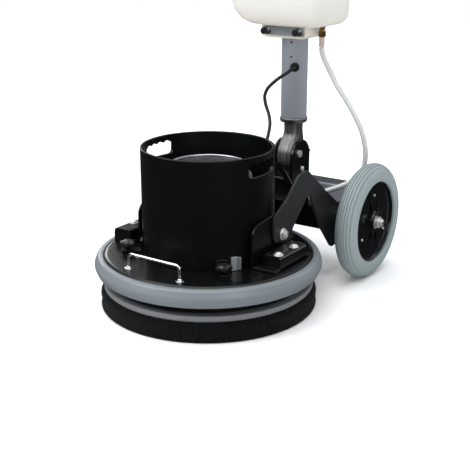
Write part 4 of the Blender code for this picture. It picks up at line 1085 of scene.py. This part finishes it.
def tank():
    """The blow-moulded tank with the saddle that sits round the column."""
    low_bends = [(0.068, 0.024, 0.0), (0.042, 0.011, 0.004), (0.021, 0.002, 0.016), (0.007, 0.0, 0.036),
        (0.0, 0.0, 0.07)]
    top_bends = [(0.05, 0.05, 0.0), (0.03, 0.03, 0.003), (0.013, 0.013, 0.014), (0.003, 0.003, 0.036),
        (0.0, 0.0, 0.07)]
    levels = [(left, right, TANK_BASE + rise) for left, right, rise in eased(low_bends, 5)]
    levels += [(left, right, TANK_TOP - drop) for left, right, drop in reversed(eased(top_bends, 5))]
    form = bmesh.new()
    rings = []
    for left, right, z in levels:
        left, right = max(0.0, left), max(0.0, right)
        shrink = (left + right) * 0.25
        west, east = left - TANK_LEFT, TANK_RIGHT - right
        front, rear = TANK_Y - TANK_L + shrink, TANK_Y + TANK_L - shrink
        r = max(TANK_R - shrink, 0.012)
        outline = oblong(west, front, east, rear, (r, r, r, r), 12)
        rings.append([form.verts.new((x, y, z)) for x, y in outline])
    lofted(form, rings)
    saddle = prism(oblong(-0.056, 0.4935, 0.0535, 0.56, (0.012, 0.012, 0, 0), 8), 0.2735, 0.352, "xz")
    clear = TUBE_R + 0.0012
    arc = [(clear * cos(pi + pi * k / 24), COLUMN_Y + clear * sin(pi + pi * k / 24)) for k in range(25)]
    channel = prism(arc + [(clear, TANK_Y + TANK_L + 0.03), (-clear, TANK_Y + TANK_L + 0.03)], 0.45,
        0.9)
    body = carved(cast_whole(merged(form, saddle), 0.0024, 6), channel)
    piece("tank_body", carved(body, cylinder(0.0262, 0.845, 0.9, 64, (CAP_X, CAP_Y, 0))), "white_tank",
        "column", "tank_shell", crease=50)
    neck = [(0.0255, TANK_TOP - 0.012), (0.03, TANK_TOP - 0.012), (0.03, TANK_TOP + 0.004)]
    for k in range(3):
        z = TANK_TOP + 0.005 + k * 0.0045
        neck += [(0.0286, z), (0.0286, z + 0.0012), (0.03, z + 0.002), (0.03, z + 0.0032)]
    neck += [(0.0292, NECK_TOP), (0.0255, NECK_TOP)]
    piece("filler_neck", turned(neck, 96, (CAP_X, CAP_Y, 0)), "white_tank", "column", crease=50)
    low, high = size("tank_cap")
    brim = high.x - CAP_X
    section = rounded([(0.022, low.z), (0.025, low.z), (0.025, NECK_TOP + GAP),
        (brim - 0.002, NECK_TOP + GAP, 0.0006), (brim, NECK_TOP + 0.003, 0.001),
        (brim, high.z - 0.001, 0.0022), (brim * 0.72, high.z - 0.0002, 0.002),
        (brim * 0.62, high.z - 0.0026, 0.002), (0, high.z - 0.0026), (0, NECK_TOP + 0.004),
        (0.022, NECK_TOP + 0.004)], 4)

    def knurled(t, r, z):
        return r * (1 - 0.03 * (0.5 + 0.5 * cos(36 * t)) ** 2) if r > brim - 0.003 else r

    piece("filler_cap", turned(section, 288, (CAP_X, CAP_Y, 0), scallop=knurled), "black_plastic",
        "tank_cap", "tank_cap")
    strap_fittings()


def sixteen_ribs(t, r, z):
    return r * (1 - 0.07 * (0.5 + 0.5 * cos(16 * t)) ** 2) if r > 0.0065 else r


def strap_fittings():
    """The zinc strap under the tank, its two knobs, and the brass outlet for the hose."""
    holes = [cylinder(0.0044, -0.02, 0.02, 32, (sign * KNOB_X, STRAP_LOW.y, KNOB_Z), Y)
        for side, sign in SIDES]
    outline = oblong(STRAP_LOW.x, STRAP_LOW.z, STRAP_HIGH.x, STRAP_HIGH.z,
        (0.0015, 0.0015, 0.0015, 0.0015), 4)
    strap = carved(prism(outline, STRAP_LOW.y, STRAP_HIGH.y, "xz"), *holes)
    piece("strap_plate", strap, "zinc", "column", "tank_strap", edge=0.0004)
    face = STRAP_LOW.y
    for side, sign in SIDES:
        at = (sign * KNOB_X, 0, KNOB_Z)
        washer = oblong(0.0042, face - 0.0014, 0.0088, face, (0, 0.0004, 0.0004, 0), 3)
        piece("strap_washer_" + side, turned(washer, 48, at, Y), "chrome", "column")
        stem = rounded([(0, 0.35), (0.004, 0.35), (0.004, face - 0.0012),
            (0.0058, face - 0.0012, 0.0004), (0.0058, face - 0.0088), (0, face - 0.0088)], 3)
        piece("knob_stem_" + side, turned(stem, 48, at, Y), "chrome", "column")
        knob = [(0, face - 0.0086), (0.0058, face - 0.0086), (0.007, face - 0.0092),
            (0.0074, face - 0.0164), (0.0064, face - 0.018), (0, face - 0.0184)]
        ribbed = turned(knob, 96, at, Y, scallop=sixteen_ribs)
        piece("knob_" + side, ribbed, "black_plastic", "column", "strap_knob_" + side, crease=45)
    low, high = size("hose_fitting")
    at = ((low.x + high.x) / 2, (low.y + high.y) / 2, 0)
    nut = hexagon(0.0092, 0.4985, 0.5085, at, Z)
    union = hexagon(0.0088, 0.5165, 0.5212, at, Z)
    neck = turned(rounded([(0, 0.497), (0.0068, 0.497), (0.0078, 0.4985), (0.0078, 0.508),
        (0.0064, 0.51), (0.0064, 0.512), (0.0058, 0.5126), (0.0064, 0.5134), (0.0058, 0.5142),
        (0.0064, 0.515), (0.0064, 0.5312), (0, 0.5312)], 3), 48, at)
    piece("outlet_fitting", merged(nut, union, neck), "brass", "column", "hose_fitting", edge=0.0006)
    ferrule = rounded([(0, low.z + 0.0004), (HOSE_D / 2 + 0.0001, low.z + 0.0004),
        (HOSE_D / 2 + 0.0004, 0.48, 0.0006), (HOSE_D / 2 + 0.0004, 0.4975, 0.0006), (0, 0.4975)], 3)
    piece("hose_ferrule", turned(ferrule, 48, at), "pale_ferrule", "column")


# ------------------------------------------------------------------ handle head
GRIP_Y, GRIP_Z = 0.362, 1.1
TRIGGER_Y, TRIGGER_Z = 0.312, 1.072
BUTTON_AT, LEVER_PIN_AT = (0, 0.315, 0), (0, 0.376, 1.016)


def handle_head():
    """The switch housing with its seam, its screws and the safety button in its bezel."""
    base, high = 1.035, HEAD_HIGH
    outline = oblong(-0.07, 0.284, 0.07, 0.392, (0.02, 0.02, 0.026, 0.026), 10)
    case = prism(outline, base, high.z)
    socket = cylinder(TUBE_R + 0.0006, base - 0.01, TUBE_HIGH.z + GAP, 96, (0, COLUMN_Y, 0))
    slot = slab((-0.013, 0.365, base - 0.01), (0.013, 0.387, base + 0.012))
    button = cylinder(0.0094, high.z - 0.012, high.z + 0.01, 48, BUTTON_AT)
    grips = cylinder(0.0134, -0.09, 0.09, 64, (0, GRIP_Y, GRIP_Z), X)
    pins = cylinder(0.0052, -0.09, 0.09, 32, (0, TRIGGER_Y, TRIGGER_Z), X)
    lugs = [prism(rounded([(0.367, base + 0.004), (0.367, 1.007, 0.008), (0.385, 1.007, 0.008),
        (0.385, base + 0.004)], 8), *sorted((sign * 0.013, sign * 0.017)), "yz") for side,
        sign in SIDES]
    form = merged(carved(case, socket, slot, button, grips, pins), *lugs)
    piece("switch_housing", form, "black_plastic", "column", "head_housing", edge=0.0045, steps=4,
        crease=50)
    seam = prism(oblong(-0.0704, 0.2836, 0.0704, 0.3924, (0.02, 0.02, 0.026, 0.026), 10), 1.084, 1.0856)
    piece("housing_seam", carved(seam, prism(outline, 1.08, 1.09)), "black_rubber", "column")
    for k, (x, y) in enumerate(((-0.052, 0.302), (0.052, 0.302), (-0.052, 0.374), (0.052, 0.374))):
        socket_screw(f"housing_screw_{k}", (x, y, high.z), Z, 0.0034, 0.0018, "column")
    button_low, button_high = size("safety_button")
    section = rounded([(0, button_low.z), (0.0088, button_low.z),
        (0.0088, button_high.z - 0.001, 0.0018), (0.005, button_high.z, 0.002),
        (0, button_high.z - 0.0006)], 5)
    piece("lock_button", turned(section, 64, BUTTON_AT), "red_plastic", "safety_button",
        "safety_button")
    bezel = rounded([(0.0093, high.z - 0.0004), (0.0128, high.z - 0.0004),
        (0.0128, high.z + 0.0012, 0.0006), (0.0093, high.z + 0.0016, 0.0006)], 3)
    piece("button_bezel", turned(bezel, 64, BUTTON_AT), "black_plastic", "column")


def grips_and_triggers():
    """The ribbed grips, the squeeze levers under them and the lever that lets the column tilt."""
    for side, sign in SIDES:
        out = (sign, 0, 0)
        at = (0, GRIP_Y, GRIP_Z)
        end, start, r = 0.215, 0.0703, 0.0165
        section = [(0, 0.01), (0.0128, 0.01), (0.0128, start), (0.0195, start), (0.02, start + 0.001),
            (0.02, start + 0.004), (0.0165, start + 0.0052)]
        ridges = 17
        for k in range(ridges):
            x = start + 0.008 + k * (end - start - 0.02) / ridges
            pitch = (end - start - 0.02) / ridges
            section += [(r - 0.0014, x), (r - 0.0002, x + pitch * 0.28), (r - 0.0002, x + pitch * 0.62),
                (r - 0.0014, x + pitch * 0.92)]
        section += [(r - 0.0006, end - 0.01), (r, end - 0.008), (r, end - 0.004),
            (r - 0.0016, end - 0.0012), (r - 0.005, end), (0, end)]
        piece("hand_grip_" + side, turned(section, 72, at, out), "black_rubber", "column", "grip_"
            + side, crease=50)
        paddle = prism(rounded([(0.304, 1.066, 0.004), (0.37, 1.06, 0.002), (0.38, 1.064, 0.002),
            (0.37, 1.067, 0.01), (0.32, 1.078, 0.006), (0.304, 1.078, 0.004)], 8),
            *sorted((sign * 0.073, sign * 0.165)), "yz")
        spindle = cylinder(0.0047, 0.03, 0.08, 32, (0, TRIGGER_Y, TRIGGER_Z), out)
        piece("squeeze_lever_" + side, merged(paddle, spindle), "black_plastic", "trigger_" + side,
            "trigger_" + side, edge=0.0012, crease=50)
    outline = rounded([(0.367, 1.008, 0.006), (0.436, 1.000, 0.003), (0.438, 1.006, 0.002),
        (0.386, 1.022, 0.008), (0.367, 1.024, 0.006)], 8)
    hole = cylinder(0.0033, -0.02, 0.02, 32, LEVER_PIN_AT, X)
    piece("tilt_release", carved(prism(outline, -0.0125, 0.0125, "yz"), hole), "red_plastic",
        "tilt_lever", "tilt_lever", edge=0.0012, crease=50)
    pin = oblong(0, -0.0182, 0.003, 0.0182, (0, 0, 0, 0), 2)
    piece("release_pin", turned(pin, 32, LEVER_PIN_AT, X), "steel", "column")


for build in (floor_pad, pad_driver, deck, bumper, motor_sleeve, motor_inside, terminal_box, lead_gland,
        pull_handle, sleeve_clamps, brackets, water_inlet, side_plates, cross_members, cheeks, axle,
        wheels, column_casting, column_tube, tank, handle_head, grips_and_triggers):
    build()


# ------------------------------------------------------------------ studio
def sky():
    """A dark room with a soft ceiling; the camera sees plain white past the floor."""
    world = bpy.data.worlds.new("studio")
    bpy.context.scene.world = world
    world.use_nodes = True
    nodes, links = world.node_tree.nodes, world.node_tree.links
    room, white = nodes["Background"], nodes.new("ShaderNodeBackground")
    white.inputs["Color"].default_value = (1.0, 1.0, 1.0, 1.0)
    room.inputs["Color"].default_value = (0.94, 0.97, 1.0, 1.0)
    direction = nodes.new("ShaderNodeTexCoord")
    parts = nodes.new("ShaderNodeSeparateXYZ")
    climb = nodes.new("ShaderNodeMapRange")
    climb.interpolation_type = "SMOOTHSTEP"
    for socket, value in (("From Min", 0.1), ("From Max", 0.85), ("To Min", 0.05), ("To Max", 0.95)):
        climb.inputs[socket].default_value = value
    seen, either = nodes.new("ShaderNodeLightPath"), nodes.new("ShaderNodeMixShader")
    links.new(direction.outputs["Generated"], parts.inputs[0])
    links.new(parts.outputs["Z"], climb.inputs["Value"])
    links.new(climb.outputs[0], room.inputs["Strength"])
    links.new(seen.outputs["Is Camera Ray"], either.inputs[0])
    links.new(room.outputs[0], either.inputs[1])
    links.new(white.outputs[0], either.inputs[2])
    links.new(either.outputs[0], nodes["World Output"].inputs["Surface"])


def lamp(name, kind, at, towards, power, spread):
    light = bpy.data.lights.new(name, kind)
    light.energy = power
    if kind == "SUN":
        light.angle = radians(spread)
    else:
        light.shape = "DISK"
        light.size = spread
    stand = bpy.data.objects.new(name, light)
    bpy.context.scene.collection.objects.link(stand)
    stand.location = at
    stand.rotation_euler = (Vector(towards) - Vector(at)).to_track_quat("-Z", "Y").to_euler()


def studio():
    floor = bmesh.new()
    bmesh.ops.create_grid(floor, x_segments=4, y_segments=4, size=5.0)
    ground = piece("studio_floor", floor, "studio_floor", None)
    ground.visible_glossy = False
    bpy.context.scene.view_settings.view_transform = "Standard"
    sky()
    lamp("ceiling", "SUN", (-0.5, -0.7, 3.0), (0, 0, 0), 2.3, 70)
    lamp("key", "AREA", (-1.5, -2.0, 1.9), (0, 0, 0.3), 30, 1.2)
    lamp("fill", "AREA", (2.4, -1.2, 1.0), (0.1, 0.1, 0.3), 12, 1.2)
    lamp("edge_left", "AREA", (-2.2, 1.4, 0.9), (0, 0, 0.25), 10, 0.8)
    lamp("edge_right", "AREA", (1.6, 2.4, 1.1), (0, 0.2, 0.3), 12, 0.9)


studio()
